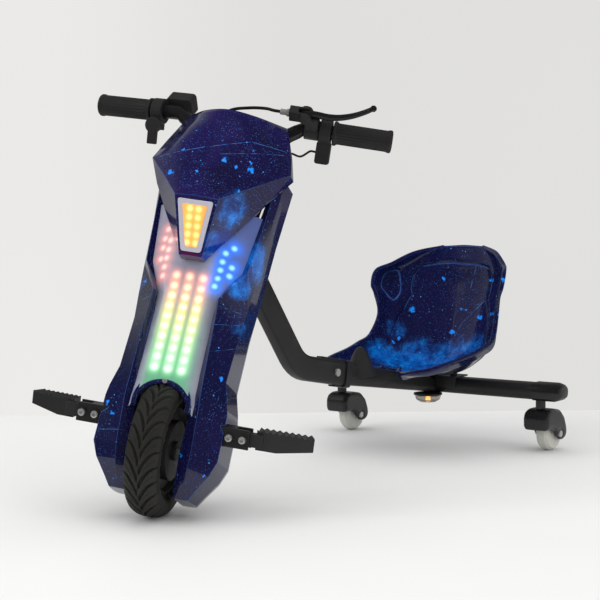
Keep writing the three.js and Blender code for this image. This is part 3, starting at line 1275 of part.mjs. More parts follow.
function mainTube() {
  const shell = rod(HEAD.radius, HEAD.span, 'z');
  const bore = rod(HEAD.bore, HEAD.span + OVERRUN, 'z');
  const onHead = (geometry) => moved(geometry, 0, 0, headBottom + HEAD.span / 2)
    .rotateX(-rake)
    .translate(steerFoot.x, steerFoot.y, steerFoot.z);
  const pocket = sweep(tubeSection(TUBE.wall), [alongTube(-OVERRUN), alongTube(SPIGOT.span + RUNNING_GAP)]);
  const hole = rod(COLLAR_BOLT.radius + SEAT_GAP, 2 * TUBE.width, 'x', 12);
  const place = alongTube(COLLAR_BOLT.inset);
  return cut(
    join(sweep(tubeSection(0), mainTubeStations()), onHead(shell)),
    onHead(bore),
    pocket,
    moved(hole, 0, place.y, place.z),
  );
}
part(trike, 'main_tube', mainTube(), 'frame');

// Rear tube: a spigot inside the main tube, then a body that grows slimmer towards the crossbar
function tubeRing(height, centre, up, inset = 0) {
  const outline = roundedOutline(TUBE.width - 2 * inset, height - 2 * inset, TUBE.corner - inset, 2);
  return outline.map((point) => centre.clone().addScaledVector(up, point.y).setX(point.x));
}
const sideFlat = (point) => new THREE.Vector2(point.x, point.z);
const rearStart = alongTube(-RUNNING_GAP);
const rearEnd = V(0, REAR_TUBE.endY, REAR_TUBE.endZ);

function rearTubeBody(inset) {
  const up = V(0, rearStart.z - rearEnd.z, rearEnd.y - rearStart.y).normalize();
  const start = tubeRing(REAR_TUBE.frontHeight, rearStart, up, inset);
  const end = tubeRing(REAR_TUBE.rearHeight, rearEnd, up, inset);
  return loft([start, end], sideFlat);
}
const crossbarSection = (length, inset) => roundedBlock(
  length,
  CROSSBAR.depth - 2 * inset,
  CROSSBAR.height - 2 * inset,
  CROSSBAR.corner - inset,
  'x',
);

function rearTube() {
  const spigot = sweep(tubeSection(TUBE.wall + SEAT_GAP), [alongTube(-OVERRUN), alongTube(SPIGOT.span)]);
  const hole = rod(COLLAR_BOLT.radius + SEAT_GAP, 2 * TUBE.width, 'x', 12);
  const place = alongTube(COLLAR_BOLT.inset);
  return cut(
    join(rearTubeBody(0), spigot),
    moved(crossbarSection(2 * TUBE.width, -SEAT_GAP), 0, 0, CROSSBAR.z),
    moved(hole, 0, place.y, place.z),
  );
}
part(trike, 'rear_tube', rearTube(), 'frame');

// Collar over the seam, with a tongue on top of the main tube and a stub under it
function frameCollar() {
  const half = TUBE.height / 2;
  const outer = roundedRectangle(COLLAR.width, COLLAR.height, TUBE.corner);
  const ring = sweep(outer, [alongTube(-COLLAR.span / 3), alongTube(COLLAR.span * 2 / 3)]);
  const plate = (length, rise, thickness) => sweep(
    roundedRectangle(TONGUE.width, thickness, thickness / 3),
    [alongTube(0, rise), alongTube(length, rise)],
  );
  const opening = sweep(tubeSection(-SEAT_GAP), [alongTube(-2 * COLLAR.span), alongTube(2 * TONGUE.span)]);
  return cut(
    join(ring, plate(TONGUE.span, half, 2 * TONGUE.thickness), plate(TONGUE.stub, -half, 2 * TONGUE.thickness)),
    opening,
  );
}
part(trike, 'frame_collar', frameCollar(), 'frame');

function collarBolt() {
  const place = alongTube(COLLAR_BOLT.inset);
  const half = TUBE.width / 2 + SEAT_GAP;
  const heads = [-1, 1].map((side) => moved(
    rod(COLLAR_BOLT.headRadius, COLLAR_BOLT.headHeight, 'x', side > 0 ? 20 : 6),
    side * (half + COLLAR_BOLT.headHeight / 2),
    0,
    0,
  ));
  return moved(join(rod(COLLAR_BOLT.radius, 2 * half, 'x', 12), ...heads), 0, place.y, place.z);
}
part(trike, 'collar_bolt', collarBolt(), 'steel');

// Moulded hump that straddles the rear tube in front of the seat: place back from the peak, height over the tube axis
function pommel() {
  const outline = POMMEL_SHARES.map(([back, up]) => new THREE.Vector2(back * POMMEL.span, up * POMMEL.height));
  const points = new THREE.SplineCurve(outline).getPoints(14);
  const rings = POMMEL_RING_SHARES.map(([across, size]) => points.map((point) => V(
    across * POMMEL.width / 2,
    point.x * size,
    point.y * size,
  )));
  const body = loft(rings, (point) => new THREE.Vector2(point.y, point.z));
  return cut(moved(body, 0, POMMEL.y, POMMEL.z), rearTubeBody(-SEAT_GAP));
}
part(trike, 'pommel', pommel(), 'plastic');

// Crossbar: an oval tube from caster to caster
part(
  trike,
  'crossbar',
  moved(
    cut(crossbarSection(2 * CROSSBAR.halfLength, 0), crossbarSection(3 * CROSSBAR.halfLength, TUBE.wall)),
    0,
    0,
    CROSSBAR.z,
  ),
  'frame',
);

// Everything of one caster is modelled on the rider's left, about its swivel axis
function endCap() {
  const corner = END_CAP.corner;
  const start = CROSSBAR.halfLength + SEAT_GAP - CASTER.track;
  const rings = END_CAP_SHARES.map(([out, narrow]) => {
    const width = END_CAP.depth - 2 * narrow * END_CAP.round;
    const height = END_CAP.height - 2 * narrow * END_CAP.round;
    const outline = roundedOutline(width, height, corner - narrow * END_CAP.round * 0.75, 3);
    return outline.map((point) => V(start + out * END_CAP.span, point.x, CROSSBAR.z + point.y));
  });
  const shell = loft(rings, (point) => new THREE.Vector2(point.y, point.z));
  const plug = crossbarSection(END_CAP.plug + OVERRUN, TUBE.wall + SEAT_GAP);
  const bore = rod(CASTER_STEM.radius + SEAT_GAP, END_CAP.height, 'z', 20);
  return cut(
    join(shell, moved(plug, start - END_CAP.plug / 2 + OVERRUN / 2, 0, CROSSBAR.z)),
    moved(bore, 0, 0, CASTER_STEM.top + SEAT_GAP - END_CAP.height / 2),
  );
}

function casterStem() {
  const shoulder = CASTER_HOOD.top + SEAT_GAP;
  const shaft = moved(rod(CASTER_STEM.radius, CASTER_STEM.top - shoulder, 'z', 20), 0, 0, (CASTER_STEM.top + shoulder) / 2);
  const pin = moved(rod(CASTER_STEM.pinRadius, CASTER_STEM.pinDepth + OVERRUN, 'z', 16), 0, 0, shoulder - CASTER_STEM.pinDepth / 2 + OVERRUN / 2);
  return join(shaft, pin);
}

function casterHood() {
  const outline = CASTER_HOOD_SHARES.map(([back, up]) => [back * CASTER_HOOD.span, up * CASTER_HOOD.top]);
  const body = sideProfile(outline, CASTER_HOOD.width, CASTER_HOOD.bevel);
  const axle = V(0, CASTER.trail, CASTER.wheelRadius);
  const slot = rod(CASTER.wheelRadius + CASTER_HOOD.wheelRoom, CASTER_HOOD.slotWidth, 'x', 24);
  const below = block(CASTER_HOOD.slotWidth, CASTER_HOOD.span, CASTER.wheelRadius);
  const bore = rod(CASTER_AXLE.radius + SEAT_GAP, 2 * CASTER_HOOD.width, 'x', 12);
  const recess = rod(CASTER_AXLE.recessRadius, 2 * CASTER_AXLE.headDepth, 'x', 20);
  const socket = rod(CASTER_STEM.pinRadius + SEAT_GAP, 2 * (CASTER_STEM.pinDepth + RUNNING_GAP), 'z', 16);
  const half = CASTER_HOOD.width / 2;
  return cut(
    body,
    moved(slot, 0, axle.y, axle.z),
    moved(below, 0, axle.y, 0),
    moved(bore, 0, axle.y, axle.z),
    moved(recess, half, axle.y, axle.z),
    moved(recess, -half, axle.y, axle.z),
    moved(socket, 0, 0, CASTER_HOOD.top),
  );
}

function casterWheel() {
  const half = CASTER.wheelWidth / 2;
  const side = [
    [CASTER_AXLE.radius + SEAT_GAP, half],
    [CASTER.hubRadius, half],
    [CASTER.hubRadius, half - CASTER.wheelEdge / 4],
    [CASTER.wheelRadius - CASTER.wheelEdge / 2, half - CASTER.wheelEdge / 4],
    [CASTER.wheelRadius, half - CASTER.wheelEdge],
  ];
  const other = side.map(([radius, along]) => [radius, -along]);
  return revolve([...other, ...side.reverse()], 24);
}

function casterAxle() {
  const half = CASTER_HOOD.width / 2;
  const head = rod(CASTER_AXLE.headRadius, CASTER_AXLE.headDepth - SEAT_GAP, 'x', 6);
  const heads = [-1, 1].map((side) => moved(head, side * (half - (CASTER_AXLE.headDepth - SEAT_GAP) / 2), 0, 0));
  return join(rod(CASTER_AXLE.radius, 2 * half - CASTER_AXLE.headDepth, 'x', 12), ...heads);
}

for (const [name, side] of [['left', 1], ['right', -1]]) {
  const handed = (geometry) => (side > 0 ? geometry : mirrored(geometry));
  const place = V(side * CASTER.track, 0, 0);
  const placed = (geometry) => handed(geometry).translate(place.x, place.y, place.z);
  const axle = V(place.x, CASTER.trail, CASTER.wheelRadius);
  part(trike, `${name}_end_cap`, placed(endCap()), 'plastic');
  part(trike, `${name}_caster_stem`, placed(casterStem()), 'steel');
  const swivel = joint(trike, `${name}_caster`, place, V(0, 0, 1));
  part(swivel, `${name}_caster_hood`, placed(casterHood()), 'plastic');
  part(swivel, `${name}_caster_axle`, moved(casterAxle(), axle.x, axle.y, axle.z), 'steel');
  const roller = joint(swivel, `${name}_caster_wheel`, axle, V(1, 0, 0));
  part(roller, `${name}_roller`, moved(casterWheel(), axle.x, axle.y, axle.z), 'roller');
}

// Bucket seat: each station joins a rim point to a point on the middle line over a curved section.
// Rim and middle line are shares of half width, depth back from the front, and height over the bottom.
function seatPoint(station, share) {
  const [rim, middle, back] = station;
  const knee = V(
    rim.x * SEAT.kneeShare,
    (middle.y * (1 + back) + rim.y * (1 - back)) / 2,
    (middle.z * (2 - back) + rim.z * back) / 2,
  );
  const side = Math.sign(share);
  const curve = new THREE.QuadraticBezierCurve3(middle, knee, rim);
  const point = curve.getPoint(Math.abs(share));
  return point.setX(point.x * side);
}

function seatStations() {
  return SEAT_STATION_SHARES.map(([x, y, z, middleY, middleZ, back]) => [
    V(x * SEAT.halfWidth, SEAT.front + y * SEAT.depth, SEAT.bottom + z * SEAT.height),
    V(0, SEAT.front + middleY * SEAT.depth, SEAT.bottom + middleZ * SEAT.height),
    back,
  ]);
}

// A surface as rows of points, with its edge loop bent outwards and down into a lip
function seatSurface() {
  const stations = seatStations();
  const rows = stations.map((station) => SEAT_COLUMN_SHARES.map((share) => seatPoint(station, share)));
  const lastRow = rows.length - 1;
  const lastColumn = SEAT_COLUMN_SHARES.length - 1;
  const loop = [];
  for (let j = 0; j < lastColumn; j += 1) loop.push([0, j]);
  for (let i = 0; i < lastRow; i += 1) loop.push([i, lastColumn]);
  for (let j = lastColumn; j > 0; j -= 1) loop.push([lastRow, j]);
  for (let i = lastRow; i > 0; i -= 1) loop.push([i, 0]);
  const inward = ([i, j]) => {
    const row = Math.min(Math.max(i, 1), lastRow - 1);
    const column = Math.min(Math.max(j, 1), lastColumn - 1);
    return rows[row][column];
  };
  const count = loop.length;
  const lip = loop.map((place, k) => {
    const [i, j] = place;
    const edge = rows[i][j];
    const [a, b] = loop[(k + count - 1) % count];
    const [c, d] = loop[(k + 1) % count];
    const run = rows[c][d].clone().sub(rows[a][b]).normalize();
    const rise = edge.clone().sub(inward(place));
    rise.addScaledVector(run, -rise.dot(run)).normalize();
    const outward = rise.clone().cross(run).normalize();
    const beside = THREE.MathUtils.clamp((Math.abs(edge.x) - SEAT.tubeHalf) / SEAT.tubeFade, 0, 1);
    const free = edge.y > SEAT.crotch ? 1 : beside;
    const bend = Math.PI * Math.max(free, SEAT.leastBend);
    return { edge, rise, outward, bend };
  });
  return { rows, loop, lip };
}

function bucketSeat() {
  const { rows, loop, lip } = seatSurface();
  const width = SEAT_COLUMN_SHARES.length;
  const points = rows.flat().map((point) => point.clone());
  const faces = [];
  for (let i = 0; i + 1 < rows.length; i += 1) {
    for (let j = 0; j + 1 < width; j += 1) {
      faces.push([i * width + j, i * width + j + 1, (i + 1) * width + j + 1, (i + 1) * width + j]);
    }
  }
  const radius = SEAT.lipRadius;
  const onBend = ({ edge, rise, outward, bend }, angle) => {
    const crest = Math.min(bend, Math.PI / 2);
    return edge.clone()
      .addScaledVector(rise, radius * (Math.sin(angle) - Math.sin(crest)))
      .addScaledVector(outward, radius * (Math.cos(crest) - Math.cos(angle)));
  };
  let ring = loop.map(([i, j]) => i * width + j);
  const strip = (place) => {
    const start = points.length;
    lip.forEach((at) => points.push(place(at)));
    const next = lip.map((_, k) => start + k);
    lip.forEach((_, k) => {
      const after = (k + 1) % lip.length;
      faces.push([ring[k], ring[after], next[after], next[k]].reverse());
    });
    ring = next;
  };
  lip.forEach((at, k) => {
    points[ring[k]] = onBend(at, 0);
  });
  for (let step = 1; step <= SEAT.lipSteps; step += 1) strip((at) => onBend(at, (at.bend * step) / SEAT.lipSteps));
  strip((at) => {
    const drop = SEAT.lipDrop * THREE.MathUtils.clamp((SEAT.lipTop - at.edge.z) / SEAT.lipFade, 0, 1);
    const reach = SEAT.lipEdge + drop * THREE.MathUtils.clamp(at.bend / Math.PI * 2 - 1, 0, 1);
    return onBend(at, at.bend)
      .addScaledVector(at.rise, reach * Math.cos(at.bend))
      .addScaledVector(at.outward, reach * Math.sin(at.bend));
  });
  return thickened(points, faces, ring);
}

// A closed shell between a surface and its copy moved along the corner normals
function thickened(points, faces, edge) {
  const normals = points.map(() => V(0, 0, 0));
  for (const [a, b, c, d] of faces) {
    const normal = points[c].clone().sub(points[a]).cross(points[d].clone().sub(points[b])).normalize();
    for (const corner of [a, b, c, d]) normals[corner].add(normal);
  }
  const count = points.length;
  const inner = points.map((point, i) => point.clone().addScaledVector(normals[i].normalize(), SEAT.wall));
  const index = [];
  const quad = (a, b, c, d) => index.push(a, b, c, a, c, d);
  for (const [a, b, c, d] of faces) {
    quad(a, d, c, b);
    quad(count + a, count + b, count + c, count + d);
  }
  edge.forEach((at, k) => {
    const after = edge[(k + 1) % edge.length];
    quad(at, after, count + after, count + at);
  });
  const geometry = new THREE.BufferGeometry();
  const all = [...points, ...inner].flatMap((point) => point.toArray());
  geometry.setAttribute('position', new THREE.Float32BufferAttribute(all, 3));
  geometry.setIndex(index);
  return closed(geometry);
}
const seatShell = bucketSeat();
part(trike, 'seat', seatShell, 'body');

// Angle bracket on the crossbar, notched over the rear tube, with two spacers up to the seat
function seatBracket() {
  const top = CROSSBAR.z + CROSSBAR.height / 2 + SEAT_GAP;
  const flange = moved(block(SEAT_BRACKET.width, SEAT_BRACKET.depth, SEAT_BRACKET.thickness), 0, 0, top + SEAT_BRACKET.thickness / 2);
  const lip = block(SEAT_BRACKET.width, SEAT_BRACKET.thickness, SEAT_BRACKET.lip);
  const lipY = -CROSSBAR.depth / 2 - SEAT_GAP - SEAT_BRACKET.thickness / 2;
  const spacers = [-1, 1].map((side) => moved(
    rod(SEAT_BRACKET.spacerRadius, SEAT_BRACKET.spacerLength, 'z', 16),
    side * SEAT_BRACKET.spread / 2,
    0,
    top + SEAT_BRACKET.spacerLength / 2,
  ));
  const corner = moved(
    block(SEAT_BRACKET.width, SEAT_BRACKET.thickness + OVERRUN, SEAT_BRACKET.thickness),
    0,
    lipY + OVERRUN / 2,
    top + SEAT_BRACKET.thickness / 2,
  );
  return cut(
    join(flange, corner, moved(lip, 0, lipY, top + SEAT_BRACKET.thickness - SEAT_BRACKET.lip / 2), ...spacers),
    rearTubeBody(-RUNNING_GAP),
    moved(seatShell, 0, 0, -SEAT_GAP),
  );
}
part(trike, 'seat_bracket', seatBracket(), 'frame');

// Tail lamp under the crossbar: base, bulb and clear dome, modelled about its own upright axis
function tailLamp() {
  const baseTop = CROSSBAR.z - CROSSBAR.height / 2 - SEAT_GAP;
  const baseBottom = baseTop - TAIL_LAMP.baseHeight;
  const domeTop = baseBottom - SEAT_GAP;
  const dome = (radius, height, overlap) => {
    const points = [[0, -height], [radius * 0.62, -height * 0.92], [radius * 0.9, -height * 0.6], [radius, overlap]];
    return revolve([...points, [0, overlap]], 28).rotateY(-Math.PI / 2);
  };
  const shell = cut(dome(TAIL_LAMP.domeRadius, TAIL_LAMP.domeHeight, 0), dome(TAIL_LAMP.domeRadius - TAIL_LAMP.wall, TAIL_LAMP.domeHeight - TAIL_LAMP.wall, OVERRUN));
  return {
    base: moved(rod(TAIL_LAMP.radius, TAIL_LAMP.baseHeight, 'z', 28), 0, TAIL_LAMP.y, (baseTop + baseBottom) / 2),
    dome: moved(shell, 0, TAIL_LAMP.y, domeTop),
    bulb: moved(rod(TAIL_LAMP.bulbRadius, TAIL_LAMP.bulbHeight, 'z', 12), 0, TAIL_LAMP.y, domeTop - TAIL_LAMP.bulbHeight / 2),
  };
}
const lamp = tailLamp();
part(trike, 'tail_lamp_base', lamp.base, 'plastic');
part(trike, 'tail_lamp_dome', lamp.dome, 'clear');
part(trike, 'tail_lamp_bulb', lamp.bulb, 'light');

// Origin: the middle of the whole part's box, on the floor
trike.updateMatrixWorld(true);
const extent = new THREE.Box3().setFromObject(trike, true);
const middle = extent.getCenter(V());
trike.position.set(-middle.x, -middle.y, -extent.min.z);

export default trike;
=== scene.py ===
# %% [markdown]
# # A lit drift trike
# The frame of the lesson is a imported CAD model: a faceted fairing with lamps behind a frosted panel,
# a bucket seat on a bent tube, and two free casters. The CAD model gives every place and size.
# Blender gives it paint, light, tread and the small parts that make it look made.

# %% Load the fixed frame
import math
import bpy
from mathutils import Matrix, Vector


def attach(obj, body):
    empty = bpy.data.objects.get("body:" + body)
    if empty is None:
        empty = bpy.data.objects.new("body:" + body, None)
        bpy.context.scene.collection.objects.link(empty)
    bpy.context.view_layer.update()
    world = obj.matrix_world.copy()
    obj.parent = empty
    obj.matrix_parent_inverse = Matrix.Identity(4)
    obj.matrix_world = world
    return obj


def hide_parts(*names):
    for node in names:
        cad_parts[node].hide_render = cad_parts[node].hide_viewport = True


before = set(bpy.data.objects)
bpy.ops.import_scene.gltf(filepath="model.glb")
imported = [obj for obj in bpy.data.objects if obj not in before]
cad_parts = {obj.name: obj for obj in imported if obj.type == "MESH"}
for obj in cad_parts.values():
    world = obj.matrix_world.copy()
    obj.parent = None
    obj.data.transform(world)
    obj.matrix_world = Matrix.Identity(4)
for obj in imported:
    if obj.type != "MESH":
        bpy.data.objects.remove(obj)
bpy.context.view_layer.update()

# %% [markdown]
# ## The camera
# The photograph was taken with a long lens from the rider's front left, a little lower than the
# handlebar and looking slightly down. Its place was worked out from points of known size.

# %% Camera
CAMERA_PLACE = (1.350221, -1.862516, 0.438678)
YAW, PITCH, ROLL = 0.6405, 0.063177, 0.0097
FOCAL_PIXELS, PICTURE_PIXELS = 1371.27, 600
SENSOR = 36

camera = bpy.data.objects.new("camera", bpy.data.cameras.new("camera"))
camera.data.sensor_fit = "HORIZONTAL"
camera.data.sensor_width = SENSOR
camera.data.lens = SENSOR * FOCAL_PIXELS / PICTURE_PIXELS
turn = Matrix.Rotation(YAW, 4, "Z") @ Matrix.Rotation(-PITCH, 4, "X") @ Matrix.Rotation(ROLL, 4, "Y")
camera.matrix_world = Matrix.Translation(CAMERA_PLACE) @ turn @ Matrix.Rotation(math.pi / 2, 4, "X")
bpy.context.scene.collection.objects.link(camera)
bpy.context.scene.camera = camera
bpy.context.scene.view_settings.view_transform = "Standard"
print("lens", round(camera.data.lens, 2), "mm")

# %% [markdown]
# ## Frames to think in
# The front end leans back and is turned to one side, so its pieces are easiest to place in frames of
# their own: one on the wheel and fork, one on the leaning face of the fairing, one on each bar end.
# Lengths below are in millimetres, and only the last step turns them into metres.

# %% Frames of the front end
RAKE, LEAN, STEER = math.radians(19.8), math.radians(24), math.radians(25.5)
FRONT_PLACE = Vector((-8.911, -403.043, 0.745))

steer_axis = Vector((0, math.sin(RAKE), math.cos(RAKE)))
front_frame = Matrix.Translation(FRONT_PLACE) @ Matrix.Rotation(STEER, 4, steer_axis)
face_frame = front_frame @ Matrix.Rotation(-LEAN, 4, "X")


def on_face(across, along, out):
    return face_frame @ Vector((across, -out, along))


BAR_STRAIGHT, BAR_TIP = (102, 224, 583), (235, 238, 580)


def bar_end(side):
    start = Vector((side * BAR_STRAIGHT[0], *BAR_STRAIGHT[1:]))
    tip = Vector((side * BAR_TIP[0], *BAR_TIP[1:]))
    spin = Vector((side, 0, 0)).rotation_difference(tip - start).to_matrix()
    start -= spin @ Vector((side * BAR_STRAIGHT[0], 0, 0))
    return front_frame @ Matrix.Translation(start) @ spin.to_4x4()


print("left bar end at", [round(v, 1) for v in bar_end(1) @ Vector((BAR_TIP[0], 0, 0))])

# %% [markdown]
# ## Making a piece
# Every piece is a mesh written in code: a list of points, a list of faces, the CAD body it rides on and
# the CAD nodes that it stands for. Edges sharper than an angle stay crisp and the rest are shaded smooth.
# Most pieces are rings of points joined by a grid of faces, on smooth curves through a few given rows.

# %% Piece helpers
def smooth_by_angle(mesh, degrees):
    mesh.shade_smooth()
    mesh.set_sharp_from_angle(angle=math.radians(degrees))


def piece(name, points, faces, body, material, stands_for=(), degrees=35):
    mesh = bpy.data.meshes.new(name)
    mesh.from_pydata([Vector(p) / 1000 for p in points], [], faces)
    mesh.validate()
    smooth_by_angle(mesh, degrees)
    obj = bpy.data.objects.new(name, mesh)
    bpy.context.scene.collection.objects.link(obj)
    mesh.materials.append(material)
    if stands_for:
        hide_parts(*stands_for)
    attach(obj, body)
    print(name, len(mesh.polygons), "faces")
    return obj


def grid_faces(rows, columns, closed_rows=False, closed_columns=False, first=0):
    faces = []
    for i in range(rows - (0 if closed_rows else 1)):
        for j in range(columns - (0 if closed_columns else 1)):
            a, b = first + i * columns + j, first + i * columns + (j + 1) % columns
            c = first + ((i + 1) % rows) * columns + (j + 1) % columns
            d = first + ((i + 1) % rows) * columns + j
            faces.append((a, b, c, d))
    return faces


def tube_faces(rings, around):
    """The faces of rings of points, with a cap at each end."""
    caps = [tuple(reversed(range(around))), tuple(range((rings - 1) * around, rings * around))]
    return grid_faces(rings, around, closed_columns=True) + caps


def circle(around):
    return [2 * math.pi * k / around for k in range(around)]


def rim_of(rows, columns):
    """The places along the edge of a grid, once round."""
    rim = [(0, j) for j in range(columns - 1)] + [(i, columns - 1) for i in range(rows - 1)]
    return rim + [(rows - 1, j) for j in range(columns - 1, 0, -1)] + [(i, 0) for i in range(rows - 1, 0, -1)]


def bend_through(values, share):
    """A smooth curve through the middle two of four values or points."""
    a, b, c, d = values
    return b + 0.5 * share * (c - a + share * (2 * a - 5 * b + 4 * c - d + share * (3 * (b - c) + d - a)))


def curve_through(rows, place):
    """The numbers of a row in between, on curves that pass through all the rows."""
    last = len(rows) - 1
    before = min(int(place), last - 1)
    picks = [rows[min(max(before + step, 0), last)] for step in (-1, 0, 1, 2)]
    return [bend_through(values, place - before) for values in zip(*picks)]


# %% [markdown]
# ## Small tools for node trees
# A finish is a tree of nodes. These helpers place one node and hand back its socket, so that a finish
# reads from top to bottom like a recipe.

# %% Node helpers
def feed(tree, source, socket):
    if isinstance(source, bpy.types.NodeSocket):
        tree.links.new(source, socket)
    else:
        socket.default_value = source


def calc(tree, operation, first, second=None, third=None):
    node = tree.nodes.new("ShaderNodeMath")
    node.operation = operation
    for socket, source in zip(node.inputs, (first, second, third)):
        if source is not None:
            feed(tree, source, socket)
    return node.outputs[0]


def vector_calc(tree, operation, first, second):
    node = tree.nodes.new("ShaderNodeVectorMath")
    node.operation = operation
    feed(tree, first, node.inputs[0])
    feed(tree, second, node.inputs[1])
    return node.outputs["Value" if operation in ("DOT_PRODUCT", "DISTANCE") else "Vector"]


def distance_to(tree, place, point):
    """Metres from a place to a point given in millimetres."""
    return vector_calc(tree, "DISTANCE", place, tuple(point / 1000))


def feed_all(tree, node, values):
    for title, value in values.items():
        feed(tree, value, node.inputs[title])


def fade(tree, value, start, end, low=0.0, high=1.0):
    node = tree.nodes.new("ShaderNodeMapRange")
    node.interpolation_type = "SMOOTHSTEP"
    feed_all(tree, node, {"Value": value, "From Min": start, "From Max": end, "To Min": low, "To Max": high})
    return node.outputs["Result"]


def blend_colour(tree, share, under, over, kind="MIX"):
    node = tree.nodes.new("ShaderNodeMix")
    node.data_type = "RGBA"
    node.blend_type = kind
    feed(tree, share, node.inputs[0])
    feed(tree, under, node.inputs[6])
    feed(tree, over, node.inputs[7])
    return node.outputs[2]


def speckle(tree, place, scale, detail=2.0, roughness=0.5, distortion=0.0):
    node = tree.nodes.new("ShaderNodeTexNoise")
    feed_all(tree, node, {"Vector": place, "Scale": scale, "Detail": detail, "Roughness": roughness,
                          "Distortion": distortion})
    return node.outputs["Fac"]


def colour_steps(tree, value, stops):
    node = tree.nodes.new("ShaderNodeValToRGB")
    marks = node.color_ramp.elements
    while len(marks) < len(stops):
        marks.new(1.0)
    for mark, (position, colour) in zip(marks, stops):
        mark.position = position
        mark.color = (*colour, 1)
    feed(tree, value, node.inputs[0])
    return node.outputs["Color"]


def group_tree(name, inputs, outputs):
    tree = bpy.data.node_groups.new(name, "ShaderNodeTree")
    for title, value in inputs:
        socket = tree.interface.new_socket(name=title, in_out="INPUT", socket_type="NodeSocketFloat")
        socket.default_value = value
    for title, kind in outputs:
        tree.interface.new_socket(name=title, in_out="OUTPUT", socket_type="NodeSocket" + kind)
    return tree, tree.nodes.new("NodeGroupInput").outputs, tree.nodes.new("NodeGroupOutput").inputs


def use_group(tree, group, **values):
    node = tree.nodes.new("ShaderNodeGroup")
    node.node_tree = group
    feed_all(tree, node, values)
    return node.outputs


# %% [markdown]
# ## Shared effects
# Two effects turn up in most finishes. Moulded grain is a fine noise for the bump and a broad one that
# makes colour and roughness patchy. A soft edge asks the Bevel node for the rounded normal, and how far
# it differs from the flat one is a mask of the edges.

# %% Grain and edge groups
def object_place(tree):
    return tree.nodes.new("ShaderNodeTexCoord").outputs["Object"]


def make_grain_group():
    tree, given, out = group_tree("moulded_grain", [("Size", 900.0)],
                                  [("Height", "Float"), ("Patch", "Float")])
    place = object_place(tree)
    fine = speckle(tree, place, given["Size"], 4.0, 0.6)
    feed(tree, fine, out["Height"])
    feed(tree, speckle(tree, place, 26.0, 3.0, 0.6, 0.4), out["Patch"])
    return tree


def make_edge_group():
    tree, given, out = group_tree("soft_edge", [("Radius", 0.0008)],
                                  [("Edge", "Float"), ("Normal", "Vector")])
    bevel = tree.nodes.new("ShaderNodeBevel")
    bevel.samples = 4
    feed(tree, given["Radius"], bevel.inputs["Radius"])
    flat = tree.nodes.new("ShaderNodeNewGeometry").outputs["Normal"]
    facing = vector_calc(tree, "DOT_PRODUCT", bevel.outputs["Normal"], flat)
    feed(tree, fade(tree, facing, 0.995, 0.9), out["Edge"])
    feed(tree, bevel.outputs["Normal"], out["Normal"])
    return tree


grain_group = make_grain_group()
edge_group = make_edge_group()
print("groups:", [g.name for g in bpy.data.node_groups])


# %% Finish helpers
def finish(name, settings=None):
    """A new material, with these constants on the shader's own sockets."""
    material = bpy.data.materials.new(name)
    material.use_nodes = True
    shader = material.node_tree.nodes["Principled BSDF"]
    feed_all(material.node_tree, shader, settings or {})
    return material, material.node_tree, shader


def add_bump(tree, shader, height, strength, distance, normal):
    bump = tree.nodes.new("ShaderNodeBump")
    feed_all(tree, bump, {"Strength": strength, "Distance": distance, "Height": height, "Normal": normal})
    feed(tree, bump.outputs["Normal"], shader.inputs["Normal"])


def solid_finish(name, colour, edge_highlight_colour, rough, grain, depth, radius, uneven, settings=None):
    """Colour with edges painted lighter as a highlight, patchy roughness and a fine bump: what most solid
    finishes share.
    """
    material, tree, shader = finish(name, settings)
    grain_out = use_group(tree, grain_group, Size=grain)
    edge_out = use_group(tree, edge_group, Radius=radius)
    half_patch = calc(tree, "MULTIPLY", grain_out["Patch"], 0.5)
    patchy = blend_colour(tree, half_patch, (*colour, 1), (*[c * 0.6 for c in colour], 1))
    # The edges take the lighter colour: a painted highlight where edges would catch the light.
    feed(tree, blend_colour(tree, edge_out["Edge"], patchy, (*edge_highlight_colour, 1)), shader.inputs["Base Color"])
    roughness = fade(tree, grain_out["Patch"], 0.25, 0.75, rough - uneven, rough + uneven)
    feed(tree, roughness, shader.inputs["Roughness"])
    add_bump(tree, shader, grain_out["Height"], 0.6, depth, edge_out["Normal"])
    return material


# %% [markdown]
# ## Black metal, black plastic and rubber
# The tubes are powder coated: nearly black, satin, with a faint orange peel. Moulded plastic is a little
# lighter and rougher with a finer grain. Rubber is the roughest, and what stands out on it is painted grey as a
# highlight.

# %% Black finishes
powder_coat = solid_finish("black_powder_coat", (0.0150, 0.0150, 0.0160), (0.042, 0.042, 0.044), 0.36, 420.0,
                           0.00010, 0.0010, 0.06, {"Specular IOR Level": 0.45})
moulded_black = solid_finish("moulded_black", (0.020, 0.020, 0.0205), (0.055, 0.055, 0.057), 0.44, 1500.0,
                             0.00007, 0.0009, 0.08)
polished_black = solid_finish("polished_black", (0.010, 0.010, 0.011), (0.03, 0.03, 0.03), 0.28, 900.0,
                              0.00002, 0.0012, 0.05, {"Coat Weight": 0.3, "Coat Roughness": 0.15})


def make_rubber(name, colour, rough):
    # Edges are painted 2.2 times lighter: a painted highlight on ribs and edges.
    rubber_edge_highlight = [c * 2.2 for c in colour]
    return solid_finish(name, colour, rubber_edge_highlight, rough, 1300.0, 0.00012, 0.0006, 0.1,
                        {"Specular IOR Level": 0.35})


tyre_rubber = make_rubber("tyre_rubber", (0.0210, 0.0205, 0.0180), 0.55)
grip_rubber = make_rubber("grip_rubber", (0.0190, 0.0190, 0.0190), 0.5)
cord_sheath = make_rubber("cord_sheath", (0.012, 0.012, 0.0125), 0.42)

# %% [markdown]
# ## Bright metal
# Screws and axle ends are zinc plated steel, the stems are darker and the controller's case is cast.
# Plating and casting are never quite even, so the roughness moves a little.

